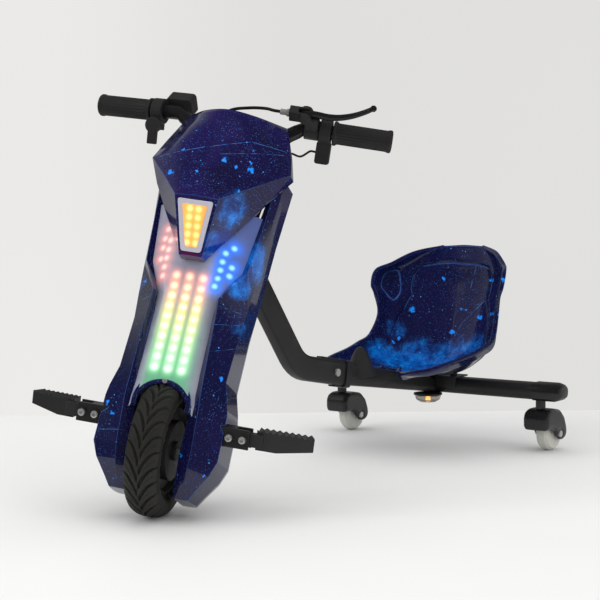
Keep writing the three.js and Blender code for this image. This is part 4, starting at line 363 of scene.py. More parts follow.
# %% Metal finishes
def make_metal(name, colour, rough, metallic=1.0):
    # Edges are painted a quarter lighter: a painted highlight.
    metal_edge_highlight = [min(c * 1.25, 1) for c in colour]
    return solid_finish(name, colour, metal_edge_highlight, rough, 700.0, 0.00003, 0.0004, 0.08, {"Metallic": metallic})


plated_steel = make_metal("plated_steel", (0.66, 0.65, 0.63), 0.3, 0.75)
dark_steel = make_metal("dark_steel", (0.11, 0.11, 0.115), 0.36)
cast_alloy = make_metal("cast_alloy", (0.42, 0.43, 0.44), 0.42)

# %% [markdown]
# ## The starry paint
# The body is a deep indigo gloss with a printed film: a dusting of tiny pale flecks, a few torn blue
# splashes, soft blue clouds and hairlines that cross the panels. Cells of Voronoi noise give the flecks.
# Clouds, splashes and hairlines lie at listed places on the body, and noise tears and breaks them.

# %% Starry print group
CLOUDS = (
    (on_face(83, 384, 73), 50, 1.0),
    (on_face(72, 341, 85), 34, 0.9),
    (on_face(48, 436, 130), 42, 0.75),
    (on_face(24, 389, 127), 26, 0.5),
    (on_face(84, 290, 60), 40, 0.3),
    (on_face(-92, 330, 62), 34, 0.4),
    (Vector((-95, 350, 160)), 62, 0.9),
    (Vector((-45, 390, 145)), 78, 1.0),
    (Vector((15, 400, 150)), 82, 1.0),
    (Vector((60, 410, 170)), 60, 0.7),
    (Vector((-104, 400, 208)), 34, 0.5),
)
BODY_SPLASHES = (
    (20.9, 509.9, 140.2, 4.4), (60.2, 505.9, 127.4, 5.2), (57.9, 516.4, 127.5, 2.8),
    (39.6, 502.8, 138.3, 3.0), (-13.1, 482.7, 150.8, 2.8), (-57.9, 483.5, 131.5, 5.0),
    (-38.5, 559, 119.3, 1.8), (-48.7, 522.6, 128.7, 2.4), (55.8, 538.1, 121.9, 2.0),
    (53.2, 464.7, 141.2, 2.6), (-86, 138.7, 71.2, 3.2), (-73.3, 123.3, 76.8, 4.2), (-75.4, 328, 72, 3.0),
    (74.6, 199.7, 78.5, 3.6), (40.6, 80.7, 74.3, 2.6), (78.3, 59, 65.8, 2.0),
)
SEAT_SPLASHES = (
    (-89.5, 437.1, 246.7, 6.5), (-36.6, 472.3, 307.5, 3.4), (58.9, 444.7, 235.3, 4.6),
    (87.5, 436.9, 244.3, 3.6), (-1.5, 445.1, 205.5, 6.0), (-95.1, 399.2, 191.8, 4.0),
    (-100.5, 388.7, 185.7, 4.0), (141.9, 385, 313.4, 3.4), (10.1, 458.5, 248.7, 2.4),
    (22, 457.6, 249.2, 2.2), (-112.9, 357.3, 177.5, 3.0),
)
SPLASHES = [(on_face(*mark[:3]), mark[3]) for mark in BODY_SPLASHES]
SPLASHES += [(Vector(mark[:3]), mark[3]) for mark in SEAT_SPLASHES]
TOWARDS_CAMERA = Vector((0.66, -0.75, 0.07)).normalized()
BODY_LINES = (
    ((-104, 520, 86), (48, 553, 119)), ((48, 553, 119), (100, 562, 80)), ((11, 519, 139), (93, 556, 79)),
    ((50, 454.5, 142), (70.5, 453.6, 100)), ((37, 420, 136), (45, 414, 111)),
    ((48, 302, 99), (80, 303, 65)), ((52, 272, 101), (80, 286, 63)), ((54, 232, 99), (84, 259, 40)),
    ((77, 403, 76), (91, 404, 49)), ((-78, 296, 70), (-51, 300, 103)), ((-92, 98, 68), (-49, 102, 82)),
)
SEAT_LINES = (
    ((64, 457, 270), (17, 449, 223)), ((17, 449, 223), (3, 441, 193)), ((3, 441, 193), (-29, 409, 150)),
    ((33, 478, 334), (24, 467, 282)),
)
HAIRLINES = [[on_face(*mark) for mark in ends] for ends in BODY_LINES]
HAIRLINES += [[Vector(mark) for mark in ends] for ends in SEAT_LINES]
HAIRLINE_HALF, HAIRLINE_DEPTH = 0.34, 0.08


def cell_noise(tree, place, scale):
    node = tree.nodes.new("ShaderNodeTexVoronoi")
    feed(tree, place, node.inputs["Vector"])
    feed(tree, scale, node.inputs["Scale"])
    return node.outputs


def flecks(tree, place, scale, largest, rare):
    """Round dots in a share of the cells, each with a size of its own."""
    cells = cell_noise(tree, place, scale)
    chance = tree.nodes.new("ShaderNodeSeparateColor")
    feed(tree, cells["Color"], chance.inputs[0])
    size = calc(tree, "MULTIPLY", fade(tree, chance.outputs[0], rare, 1.0), largest)
    inside = fade(tree, cells["Distance"], size, calc(tree, "MULTIPLY", size, 0.5))
    return calc(tree, "MULTIPLY", inside, fade(tree, chance.outputs[1], 0.0, 1.0, 0.35, 1.0))


def hairline(tree, place, ends):
    """A straight scratch between two points of the surface, seen from the front: a plane cuts it."""
    first, second = (point / 1000 for point in ends)
    along = (second - first).normalized()
    across = along.cross(TOWARDS_CAMERA).normalized()
    travel = vector_calc(tree, "DOT_PRODUCT", place, tuple(along))
    away = calc(tree, "SUBTRACT", vector_calc(tree, "DOT_PRODUCT", place, tuple(across)), first.dot(across))
    line = fade(tree, calc(tree, "ABSOLUTE", away), HAIRLINE_HALF / 1000, HAIRLINE_HALF / 3000)
    inside = calc(tree, "MULTIPLY", calc(tree, "GREATER_THAN", travel, first.dot(along)),
                  calc(tree, "LESS_THAN", travel, second.dot(along)))
    towards = vector_calc(tree, "DOT_PRODUCT", place, tuple(TOWARDS_CAMERA))
    depth = calc(tree, "SUBTRACT", towards, first.dot(TOWARDS_CAMERA))
    near = calc(tree, "LESS_THAN", calc(tree, "ABSOLUTE", depth), HAIRLINE_DEPTH)
    return calc(tree, "MULTIPLY", calc(tree, "MULTIPLY", line, inside), near)


def most(tree, values):
    whole = values[0]
    for value in values[1:]:
        whole = calc(tree, "MAXIMUM", whole, value)
    return whole


def make_print_group():
    tree, given, out = group_tree("starry_print", [("Cloud", 1.0)], [("Color", "Color"), ("Mark", "Float")])
    place = object_place(tree)
    broad = speckle(tree, place, 7.0, 3.0, 0.55, 0.6)
    ground = colour_steps(tree, broad, [
        (0.28, (0.0060, 0.0045, 0.030)), (0.5, (0.0095, 0.0062, 0.060)), (0.74, (0.019, 0.0080, 0.072)),
    ])
    # A darker ground below about 0.4 m: painted shade on the lower body and the seat.
    deep = colour_steps(tree, broad, [
        (0.28, (0.0030, 0.0036, 0.022)), (0.5, (0.0046, 0.0048, 0.040)), (0.74, (0.0085, 0.0062, 0.050)),
    ])
    height = tree.nodes.new("ShaderNodeSeparateXYZ")
    feed(tree, place, height.inputs[0])
    ground = blend_colour(tree, fade(tree, height.outputs["Z"], 0.36, 0.46), deep, ground)
    near = most(tree, [
        fade(tree, distance_to(tree, place, centre), reach / 1000, reach / 5000, 0.0, strength)
        for centre, reach, strength in CLOUDS
    ])
    mist = speckle(tree, place, 42.0, 9.0, 0.74, 0.35)
    cloud = fade(tree, calc(tree, "MULTIPLY_ADD", mist, 1.6, near), 0.85, 1.75)
    cloud = calc(tree, "MULTIPLY", calc(tree, "MULTIPLY", cloud, fade(tree, near, 0.0, 0.35)), given["Cloud"])
    blue = colour_steps(tree, mist, [
        (0.36, (0.0, 0.030, 0.20)), (0.52, (0.0, 0.11, 0.50)), (0.66, (0.0, 0.26, 0.85)),
    ])
    colour = blend_colour(tree, cloud, ground, blue)
    dusting = fade(tree, speckle(tree, place, 11.0, 2.0), 0.36, 0.60, 0.45, 1.0)
    small = calc(tree, "MULTIPLY", flecks(tree, place, 520.0, 0.42, 0.10), dusting)
    colour = blend_colour(tree, calc(tree, "MULTIPLY", small, 0.75), colour, (0.05, 0.20, 0.60, 1))
    large = flecks(tree, place, 150.0, 0.22, 0.60)
    colour = blend_colour(tree, large, colour, (0.06, 0.38, 0.90, 1))
    torn = flattened(tree, pushed(tree, place))
    splash = most(tree, [
        fade(tree, distance_to(tree, torn, facing(centre)), size / 1000, size / 2200)
        for centre, size in SPLASHES
    ])
    colour = blend_colour(tree, splash, colour, (0.0, 0.25, 0.95, 1))
    # A dark reddish spot on the lip below the headlight: a painted reflection of the lamps' glow.
    nose = distance_to(tree, place, on_face(-4, 357, 118))
    colour = blend_colour(tree, fade(tree, nose, 0.034, 0.010, 0.0, 0.85), colour, (0.085, 0.008, 0.055, 1))
    # A blue patch beside the left wing lamps: painted glow from those lamps.
    wing = distance_to(tree, place, on_face(46, 378, 112))
    colour = blend_colour(tree, fade(tree, wing, 0.046, 0.012, 0.0, 0.75), colour, (0.0, 0.035, 0.38, 1))
    broken = fade(tree, speckle(tree, place, 75.0, 4.0), 0.38, 0.64, 0.08, 0.85)
    line = calc(tree, "MULTIPLY", most(tree, [hairline(tree, place, ends) for ends in HAIRLINES]), broken)
    colour = blend_colour(tree, line, colour, (0.06, 0.28, 0.75, 1))
    feed(tree, colour, out["Color"])
    feed(tree, calc(tree, "MAXIMUM", small, splash), out["Mark"])
    return tree


def pushed(tree, place):
    """The place pushed about by noise, which tears the outline of whatever is measured from it."""
    push = vector_calc(tree, "SUBTRACT", noise_colour(tree, place, 170.0), (0.5, 0.5, 0.5))
    return vector_calc(tree, "ADD", place, vector_calc(tree, "MULTIPLY", push, (0.009, 0.009, 0.014)))


def flattened(tree, place):
    """The place without its part towards the camera, so that marks are thrown on like a slide."""
    return vector_calc(tree, "SUBTRACT", place, vector_calc(tree, "PROJECT", place, tuple(TOWARDS_CAMERA)))


def facing(point):
    return point - TOWARDS_CAMERA * point.dot(TOWARDS_CAMERA)


def noise_colour(tree, place, scale):
    node = tree.nodes.new("ShaderNodeTexNoise")
    feed(tree, place, node.inputs["Vector"])
    feed(tree, scale, node.inputs["Scale"])
    return node.outputs["Color"]


print_group = make_print_group()


# %% Body paint
def make_body_paint(name, cloud, rough, shine):
    material, tree, shader = finish(name, {"Coat Weight": 1.0, "Coat Roughness": 0.05, "Coat IOR": 1.5,
                                           "Specular IOR Level": shine})
    film = use_group(tree, print_group, Cloud=cloud)
    edge = use_group(tree, edge_group, Radius=0.0016)
    # Creases and edges are painted pale blue: a painted highlight along them.
    painted_crease_highlight = calc(tree, "MULTIPLY", edge["Edge"], 0.6)
    colour = blend_colour(tree, painted_crease_highlight, film["Color"], (0.05, 0.16, 0.50, 1))
    feed(tree, colour, shader.inputs["Base Color"])
    feed(tree, fade(tree, film["Mark"], 0.0, 1.0, rough, rough + 0.12), shader.inputs["Roughness"])
    peel = use_group(tree, grain_group, Size=210.0)
    add_bump(tree, shader, peel["Height"], 0.12, 0.0001, edge["Normal"])
    return material


body_paint = make_body_paint("starry_body_paint", 1.0, 0.2, 0.3)
seat_paint = make_body_paint("starry_seat_paint", 0.72, 0.22, 0.1)

# %% [markdown]
# ## Lamps behind a frosted skin
# Small lamps sit in rows under a milky panel. From outside each is a white hot spot in a soft
# coloured streak. Light that really passed through the skin would be slow and noisy to render, so the
# skin itself glows: a group measures how far each point is from the nearest lamp of a grid.

# %% Place and lamp groups
def soft_glow(tree, distance, halo):
    """One at a lamp, and less away from it on a bell curve."""
    ratio = calc(tree, "DIVIDE", distance, halo)
    square = calc(tree, "MULTIPLY", ratio, ratio)
    return calc(tree, "POWER", 2.718, calc(tree, "MULTIPLY", square, -1.0))


def make_place_group(name, place_frame):
    tree, given, out = group_tree(name, [], [("Across", "Float"), ("Along", "Float"), ("Out", "Float")])
    offset = vector_calc(tree, "SUBTRACT", object_place(tree), tuple(place_frame.translation / 1000))
    for title, column, sign in (("Across", 0, 1000), ("Along", 2, 1000), ("Out", 1, -1000)):
        axis = tuple(place_frame.col[column].to_3d() * sign)
        feed(tree, vector_calc(tree, "DOT_PRODUCT", offset, axis), out[title])
    return tree


def make_lamp_group():
    tree, given, out = group_tree(
        "lamp_grid",
        [("Across", 0.0), ("Along", 0.0), ("Column", 0.0), ("Gap", 20.0), ("Columns", 2.0),
         ("Start", 0.0), ("Pitch", 10.6), ("Count", 5.0), ("Size", 3.2), ("Halo", 6.0)],
        [("Spot", "Float"), ("Glow", "Float")],
    )

    def nearest(value, start, pitch, count):
        step = calc(tree, "ROUND", calc(tree, "DIVIDE", calc(tree, "SUBTRACT", value, start), pitch))
        step = calc(tree, "MINIMUM", calc(tree, "MAXIMUM", step, 0.0), calc(tree, "SUBTRACT", count, 1.0))
        return calc(tree, "SUBTRACT", value, calc(tree, "MULTIPLY_ADD", step, pitch, start))

    across = nearest(given["Across"], given["Column"], given["Gap"], given["Columns"])
    along = nearest(given["Along"], given["Start"], given["Pitch"], given["Count"])
    length = calc(tree, "MULTIPLY", given["Pitch"], calc(tree, "SUBTRACT", given["Count"], 1.0))
    end = calc(tree, "ADD", given["Start"], length)
    inside = calc(tree, "MINIMUM", calc(tree, "MAXIMUM", given["Along"], given["Start"]), end)
    beyond = calc(tree, "SUBTRACT", given["Along"], inside)

    def reach(first, second):
        squares = [calc(tree, "MULTIPLY", value, value) for value in (first, second)]
        return calc(tree, "SQRT", calc(tree, "ADD", *squares))

    spot = fade(tree, reach(across, along), given["Size"], calc(tree, "MULTIPLY", given["Size"], 0.15))
    feed(tree, spot, out["Spot"])
    feed(tree, soft_glow(tree, reach(across, beyond), given["Halo"]), out["Glow"])
    return tree


face_place_group = make_place_group("face_place", face_frame)
lamp_group = make_lamp_group()

# %% [markdown]
# ## The light panel
# One moulded skin fills the recess of the fairing: narrow above the wheel, with a raised flat middle
# and bevelled flanks, and wide below the cowl, where it carries a wing of lamps on each side. It is
# built as a grid of points between its two edges and thickened, which keeps the flanks smooth.

# %% Panel shape
PANEL_ROWS = (
    (22, .38, .48), (36, .38, .55), (60, .38, .63), (82, .39, .71), (149.9, .43, .82), (164.9, .44, .845),
    (195.8, .44, .845), (274.8, .43, .83), (310.7, .43, .825), (359.7, .67, .73), (429.6, .75, .68),
    (521.5, .86, .66),
)
PANEL = {
    "half": 98, "depth": 104, "arch": 134.5, "arch_radius": 46, "top": 452.1, "crown": 97.5,
    "wing_crown": 103, "crease_share": 0.70, "skin": 3, "lap": 5.2, "wing_start": 318, "wing_end": 366,
    "draft": 0.8, "proud": 1.2, "rim": 0.9,
}


def panel_edge(along):
    for before, after in zip(PANEL_ROWS, PANEL_ROWS[1:]):
        if after[0] >= along:
            share = (along - before[0]) / (after[0] - before[0])
            half, depth = (b + (a - b) * share for b, a in zip(before[1:], after[1:]))
            return half * PANEL["half"] + PANEL["lap"], depth * PANEL["depth"] + PANEL["proud"]


def ease(value, start, end):
    share = min(max((value - start) / (end - start), 0), 1)
    return share * share * (3 - 2 * share)


def panel_point(across_share, up_share, drop):
    start = PANEL["arch"] + PANEL["arch_radius"]
    along = start + up_share * (PANEL["top"] - start)
    half, edge = panel_edge(along)
    across = across_share * (half - PANEL["draft"] * drop)
    foot = math.sqrt(max(PANEL["arch_radius"] ** 2 - across ** 2, 0))
    along -= (PANEL["arch_radius"] - foot) * (1 - up_share) ** 6
    crease = PANEL["crease_share"]
    flat = (1 - max(abs(across_share) - crease, 0) / (1 - crease)) * (PANEL["crown"] - edge)
    domed = (1 - across_share ** 2) * (PANEL["wing_crown"] - edge)
    winged = ease(along, PANEL["wing_start"], PANEL["wing_end"])
    out = edge + flat * (1 - winged) + domed * winged
    return on_face(across, along, out - drop)


def build_light_panel(material):
    rows, columns = 61, 41
    points = []
    for drop in (0, PANEL["skin"]):
        for i in range(rows):
            points += [panel_point(-1 + 2 * j / (columns - 1), i / (rows - 1), drop) for j in range(columns)]
    count = rows * columns
    faces = grid_faces(rows, columns)
    faces += [tuple(reversed(face)) for face in grid_faces(rows, columns, first=count)]
    rim = [i * columns + j for i, j in rim_of(rows, columns)]
    faces += [(b, a, a + count, b + count) for a, b in zip(rim, rim[1:] + rim[:1])]
    panel = piece("frosted_light_panel", points, faces, "front_end", material,
                  ["light_panel"], 50)
    bevel = panel.modifiers.new("soft rim", "BEVEL")
    bevel.width, bevel.segments = PANEL["rim"] / 1000, 3
    bevel.limit_method, bevel.angle_limit = "ANGLE", math.radians(55)


# %% Glowing panel finish
def add_lamps(tree, place, settings):
    out = use_group(tree, lamp_group, Across=place["Across"], Along=place["Along"], **settings)
    return out["Spot"], out["Glow"]


LEFT_WING = (
    (52.3, 394.0), (42.4, 383.2), (40.7, 369.3), (40.5, 356.1), (39.8, 342.6), (38.0, 329.8),
    (54.8, 364.4), (54.1, 351.0),
)
RIGHT_WING = (
    (-54.2, 409.4), (-56.0, 394.4), (-55.8, 379.8), (-54.7, 361.8),
    (-45.4, 391.5), (-45.1, 376.7), (-45.1, 363.3), (-44.9, 348.8), (-44.0, 334.5),
)
WING_LAMPS = (
    (LEFT_WING, (0.0, 0.16, 0.86, 1), (0.40, 0.92, 1.0, 1), 11.5, 1.0),
    (RIGHT_WING, (0.56, 0.20, 0.18, 1), (1.0, 0.72, 0.60, 1), 10.5, 0.85),
)


def lamp_points(tree, place, points, size, halo):
    """Spot and glow round lamps that stand at given places instead of in a grid."""
    here = tree.nodes.new("ShaderNodeCombineXYZ")
    feed(tree, place["Across"], here.inputs["X"])
    feed(tree, place["Along"], here.inputs["Z"])
    nearest = None
    for across, along in points:
        away = vector_calc(tree, "DISTANCE", here.outputs[0], (across, 0, along))
        nearest = away if nearest is None else calc(tree, "MINIMUM", nearest, away)
    return fade(tree, nearest, size, 0.15 * size), soft_glow(tree, nearest, halo)


def make_panel_finish():
    material, tree, shader = finish("frosted_glowing_panel", {"Coat Weight": 0.6, "Coat Roughness": 0.12,
                                                              "Emission Strength": 1.0})
    place = use_group(tree, face_place_group)
    grain = use_group(tree, grain_group, Size=500.0)
    milky = colour_steps(tree, grain["Patch"], [(0.3, (0.24, 0.24, 0.33)), (0.7, (0.33, 0.33, 0.42))])
    feed(tree, fade(tree, grain["Patch"], 0.2, 0.8, 0.28, 0.4), shader.inputs["Roughness"])

    spot, glow = add_lamps(tree, place, {
        "Column": -21.5, "Gap": 20.5, "Columns": 3.0, "Start": 197.3, "Pitch": 15.6, "Count": 10.0,
        "Size": 8.3, "Halo": 8.2,
    })
    height = fade(tree, place["Along"], 190.0, 345.0)
    centre = colour_steps(tree, height, [
        (0.0, (0.46, 0.82, 0.46)), (0.35, (0.64, 0.80, 0.24)), (0.6, (0.84, 0.70, 0.14)),
        (0.82, (0.86, 0.44, 0.13)), (1.0, (0.80, 0.24, 0.13)),
    ])
    hot = colour_steps(tree, height, [
        (0.0, (0.95, 1.0, 0.92)), (0.45, (1.0, 1.0, 0.75)), (0.8, (1.0, 0.95, 0.62)), (1.0, (1.0, 0.75, 0.5)),
    ])
    light = blend_colour(tree, spot, blend_colour(tree, glow, (0, 0, 0, 1), centre), hot)
    # Near the lamps the skin's base colour takes their colour too: painted glow, beside the emission.
    body = blend_colour(tree, calc(tree, "MULTIPLY", glow, 0.55), milky, centre)
    central = fade(tree, calc(tree, "ABSOLUTE", place["Across"]), 46.0, 22.0)
    spill = calc(tree, "MULTIPLY", central, fade(tree, place["Along"], 330.0, 200.0))
    green = blend_colour(tree, spill, (0, 0, 0, 1), (0.02, 0.20, 0.07, 1))
    light = blend_colour(tree, 1.0, light, green, "ADD")
    # The green spill is painted into the base colour as well: painted glow.
    body = blend_colour(tree, calc(tree, "MULTIPLY", spill, 0.75), body, (0.06, 0.24, 0.11, 1))
    for points, colour, hot_colour, halo, amount in WING_LAMPS:
        spot, glow = lamp_points(tree, place, points, 6.2, halo)
        glow = calc(tree, "MULTIPLY", glow, amount)
        light = blend_colour(tree, 1.0, light, blend_colour(tree, glow, (0, 0, 0, 1), colour), "ADD")
        light = blend_colour(tree, calc(tree, "MULTIPLY", spot, amount), light, hot_colour)
        # Round the wing lamps the base colour takes their colour: painted glow.
        body = blend_colour(tree, calc(tree, "MULTIPLY", glow, 0.9), body, colour)
    wing = calc(tree, "MULTIPLY", fade(tree, place["Across"], 26.0, 42.0),
                fade(tree, place["Along"], 318.0, 350.0))
    body = blend_colour(tree, calc(tree, "MULTIPLY", wing, 0.8), body, (0.04, 0.09, 0.36, 1))
    edge = use_group(tree, edge_group, Radius=0.0012)
    # The rim is painted pale: a painted highlight along it.
    feed(tree, blend_colour(tree, edge["Edge"], body, (0.60, 0.68, 0.85, 1)), shader.inputs["Base Color"])
    feed(tree, light, shader.inputs["Emission Color"])
    return material


build_light_panel(make_panel_finish())

# %% [markdown]
# ## The headlight
# The lamp in the nose is a thick frosted frame round an amber window with two columns of lamps. The frame
# is the CAD lens with softened edges. The window is a plate of its own, let in a little proud, whose
# outline follows the frame at an even distance.

# %% Headlight window
nose_low, nose_high = on_face(0, 361.2, 126.1), on_face(0, 439.3, 167)
nose_frame = face_frame.copy()
nose_up = (nose_high - nose_low).normalized()
nose_out = face_frame.col[0].to_3d().cross(nose_up)
nose_middle = (nose_low + nose_high) / 2
for row in range(3):
    nose_frame[row][1], nose_frame[row][2] = -nose_out[row], nose_up[row]
    nose_frame[row][3] = nose_middle[row]
HEADLIGHT = {"top": 27, "bottom": 15, "height": 76, "rim": 7.0, "sunk": 0.4, "face": 1.0, "proud": 0.6,
             "corner": 2.5}


def window_outline(inset, steps=4):
    half = HEADLIGHT["height"] / 2 - inset
    slope = (HEADLIGHT["top"] - HEADLIGHT["bottom"]) / HEADLIGHT["height"]
    top = HEADLIGHT["top"] - inset * (1 + slope)
    bottom = HEADLIGHT["bottom"] - inset * (1 - slope)
    corner = HEADLIGHT["corner"]
    points = []
    for x, z, quarter in ((top, half, 0), (-top, half, 1), (-bottom, -half, 2), (bottom, -half, 3)):
        for step in range(steps + 1):
            angle = (quarter + step / steps) * math.pi / 2
            centre_x, centre_z = x - math.copysign(corner, x), z - math.copysign(corner, z)
            points.append((centre_x + corner * math.cos(angle), centre_z + corner * math.sin(angle)))
    return points


def build_headlight_window(material):
    rim, face, proud = HEADLIGHT["rim"], HEADLIGHT["face"], HEADLIGHT["proud"]
    rings = [(rim, HEADLIGHT["sunk"]), (rim, face + proud * 0.5), (rim + proud, face + proud)]
    points = [nose_frame @ Vector((x, -out, z)) for inset, out in rings for x, z in window_outline(inset)]
    faces = tube_faces(len(rings), len(window_outline(rim)))
    piece("headlight_window", points, faces, "front_end", material, (), 40)


nose_place_group = make_place_group("nose_place", nose_frame)


def make_window_finish():
    material, tree, shader = finish("amber_lamp_window", {"Coat Weight": 0.5, "Emission Strength": 1.0})
    place = use_group(tree, nose_place_group)
    grain = use_group(tree, grain_group, Size=700.0)
    tone = colour_steps(tree, grain["Patch"], [(0.3, (0.62, 0.26, 0.05)), (0.7, (0.70, 0.34, 0.10))])
    feed(tree, tone, shader.inputs["Base Color"])
    feed(tree, fade(tree, grain["Patch"], 0.2, 0.8, 0.25, 0.4), shader.inputs["Roughness"])
    spot, glow = add_lamps(tree, place, {
        "Column": -6.5, "Gap": 13.0, "Columns": 2.0, "Start": -25.0, "Pitch": 12.5, "Count": 5.0, "Size": 7.2,
        "Halo": 7.5,
    })
    amber = blend_colour(tree, glow, (0.30, 0.13, 0.04, 1), (0.85, 0.36, 0.03, 1))
    feed(tree, blend_colour(tree, spot, amber, (1.0, 0.78, 0.28, 1)), shader.inputs["Emission Color"])
    return material


build_headlight_window(make_window_finish())
frosted_rim = solid_finish("frosted_rim", (0.52, 0.50, 0.58), (0.72, 0.70, 0.78), 0.35, 700.0, 0.00003,
                           0.0008, 0.06, {"Subsurface Weight": 0.2, "Subsurface Radius": (0.004, 0.003, 0.002)})

# %% [markdown]
# ## The cowl
# The cowl is the faceted nose above the lamps: a broad smooth top between two crisp creases, a dark facet
# on each flank and a narrow band along the lower edge. Rows of shares give its sections, as in the CAD
# model. Across the top the points lie on a curve, and a solidify modifier gives the wall of the moulding.

# %% Cowl
COWL = {"start": 361.2, "span": 252, "half": 111, "depth": 167, "wall": 3}
COWL_ROWS = (
    (0, 0.15, 0.625, 0.165, 0.655, 0.16, 0.745, 0.08, 0.752, 0.755, 0),
    (0.31, 0.585, 0.53, 0.595, 0.575, 0.3, 0.98, 0.15, 0.993, 1, 0),
    (0.47, 0.8, 0.485, 0.81, 0.53, 0.62, 0.75, 0.33, 0.885, 0.925, 0),
    (0.64, 0.995, 0.36, 0.99, 0.48, 0.98, 0.50, 0.52, 0.76, 0.845, 0),
    (0.79, 0.90, 0.33, 0.9, 0.375, 0.885, 0.405, 0.48, 0.695, 0.775, 0.01),
    (1, 0.72, 0.255, 0.73, 0.275, 0.72, 0.29, 0.38, 0.575, 0.69, 0.04),
)


def cowl_section(place):
    before = min(int(place), len(COWL_ROWS) - 2)
    share = place - before
    last = len(COWL_ROWS) - 1
    rows = [COWL_ROWS[min(max(before + step, min(before, 1)), last)] for step in (-1, 0, 1, 2)]
    straight = [b + (c - b) * share for b, c in zip(rows[1], rows[2])]
    curved = [bend_through(values, share) for values in zip(*rows)]
    values = straight[:7] + (curved[7:] if before else straight[7:])
    along, low_x, low_depth, band_x, band_depth, edge_x, edge_depth = values[:7]
    crown_x, crown_depth, depth, back = values[7:]
    marks = [(0, depth, along - back), (crown_x, crown_depth, along - 0.8 * back),
             (edge_x, edge_depth, along), (band_x, band_depth, along), (low_x, low_depth, along)]
    return [Vector((x * COWL["half"], COWL["start"] + up * COWL["span"], out * COWL["depth"]))
            for x, out, up in marks]


def cowl_half_row(place, finer=7):
    middle, crown, edge, band, low = cowl_section(place)
    mirrored = Vector((-crown.x, crown.y, crown.z))
    beyond = edge * 2 - crown
    top = [bend_through((mirrored, middle, crown, edge), k / finer) for k in range(finer)]
    side = [bend_through((middle, crown, edge, beyond), k / finer).lerp(crown.lerp(edge, k / finer), 0.5)
            for k in range(finer)]
    return top + side + [edge.lerp(band, k / 3) for k in range(3)] + [band.lerp(low, k / 2) for k in range(3)]


def build_cowl(material):
    finer = 8
    points = []
    rows = (len(COWL_ROWS) - 1) * finer + 1
    for i in range(rows):
        half = cowl_half_row(i / finer)
        whole = [Vector((-p.x, p.y, p.z)) for p in reversed(half[1:])] + half
        points += [on_face(p.x, p.y, p.z) for p in whole]
    columns = len(points) // rows
    faces = grid_faces(rows, columns)
    chin = len(points)
    lowest = points[:columns]
    points.append(sum(lowest, Vector()) / columns)
    faces += [(k + 1, k, chin) for k in range(columns - 1)] + [(0, columns - 1, chin)]
    cowl = piece("moulded_cowl", points, faces, "front_end", material, ["front_cowl"], 14)
    wall = cowl.modifiers.new("wall", "SOLIDIFY")
    wall.thickness, wall.offset = COWL["wall"] / 1000, -1


build_cowl(body_paint)

# %% [markdown]
# ## The arch over the wheel
# Between the lit panel and the tyre a narrow glossy band rolls forward, like the rim of a cup. It is a
# short profile swept along an arc, a few millimetres clear of the tyre, and one screw holds it.

# %% Arch band
ARCH_PROFILE = (
    (46.8, 95.5), (46.8, 97.6), (45.2, 99.6), (43, 100.4), (41, 100.6), (39.6, 100.0), (39.0, 98.8),
    (39.8, 97.4), (43, 97.0),
)

ARCH = {"start": 0.09, "sweep": 0.82, "fall": 9, "steps": 48}


def build_arch_band(material):
    points = []
    for step in range(ARCH["steps"] + 1):
        angle = math.pi * (ARCH["start"] + ARCH["sweep"] * step / ARCH["steps"])
        fall = ARCH["fall"] * (1 - math.sin(angle)) ** 1.5
        for radius, out in ARCH_PROFILE:
            along = PANEL["arch"] + radius * math.sin(angle)
            points.append(on_face(radius * math.cos(angle), along, out - fall))
    faces = tube_faces(ARCH["steps"] + 1, len(ARCH_PROFILE))
    piece("arch_band", points, faces, "front_end", material, (), 50)


build_arch_band(body_paint)

# %% [markdown]
# ## The brake lever
# The lever is a cast blade, broad near its pivot and slender towards the end, which sweeps away from the
# bar and finishes in a small knob. An oval section follows a curve drawn in the frame of the pivot.

# %% Brake lever
LEVER_PATH = (
    (-6, -1), (8, -4), (20, -4), (34, -3), (50, -5), (66, -11), (80, -19), (93, -28.5), (101, -35.5),
)
LEVER_HALF = (
    (5.5, 4.2), (6.6, 4.6), (6.4, 4.6), (5.8, 4.5), (5.5, 4.5), (5.3, 4.4), (5.1, 4.3), (5.0, 4.2),
    (4.9, 4.2),
)
LEVER = {"around": 20, "finer": 3, "knob": 5.2, "overhang": (2, -1.6, 0),
         "knob_rings": (0.12, 0.3, 0.5, 0.7, 0.9)}
PIVOT = Vector((104, -24, 21))


def lever_frame():
    towards_bar = Vector((0, -PIVOT.y, -PIVOT.z)).normalized()
    axis = Vector((1, 0, 0)).cross(towards_bar)
    frame_here = Matrix((Vector((1, 0, 0)), towards_bar, axis)).transposed().to_4x4()
    return bar_end(1) @ Matrix.Translation(PIVOT) @ frame_here


def build_lever(material):
    place = lever_frame()
    around, finer, knob = LEVER["around"], LEVER["finer"], LEVER["knob"]
    points = []
    rows = (len(LEVER_PATH) - 1) * finer + 1
    for k in range(rows):
        before = min(k // finer, len(LEVER_PATH) - 2)
        share = k / finer - before
        high, deep = [a + (b - a) * share for a, b in zip(LEVER_HALF[before], LEVER_HALF[before + 1])]
        x, y = curve_through(LEVER_PATH, k / finer)
        for angle in circle(around):
            points.append(place @ Vector((x, y + high * math.cos(angle), deep * math.sin(angle))))
    end = Vector((*LEVER_PATH[-1], 0)) + Vector(LEVER["overhang"])
    direction = Vector((0.8, -0.6, 0))
    aside = Vector((0.6, 0.8, 0))
    for turn_share in LEVER["knob_rings"]:
        centre = end - direction * knob * math.cos(math.pi * turn_share)
        ring = knob * math.sin(math.pi * turn_share)
        for angle in circle(around):
            round_ring = aside * ring * math.cos(angle) + Vector((0, 0, ring * math.sin(angle)))
            points.append(place @ (centre + round_ring))
    faces = tube_faces(rows + len(LEVER["knob_rings"]), around)
    piece("brake_lever_blade", points, faces, "brake_lever", material, ["brake_lever"], 60)


build_lever(polished_black)

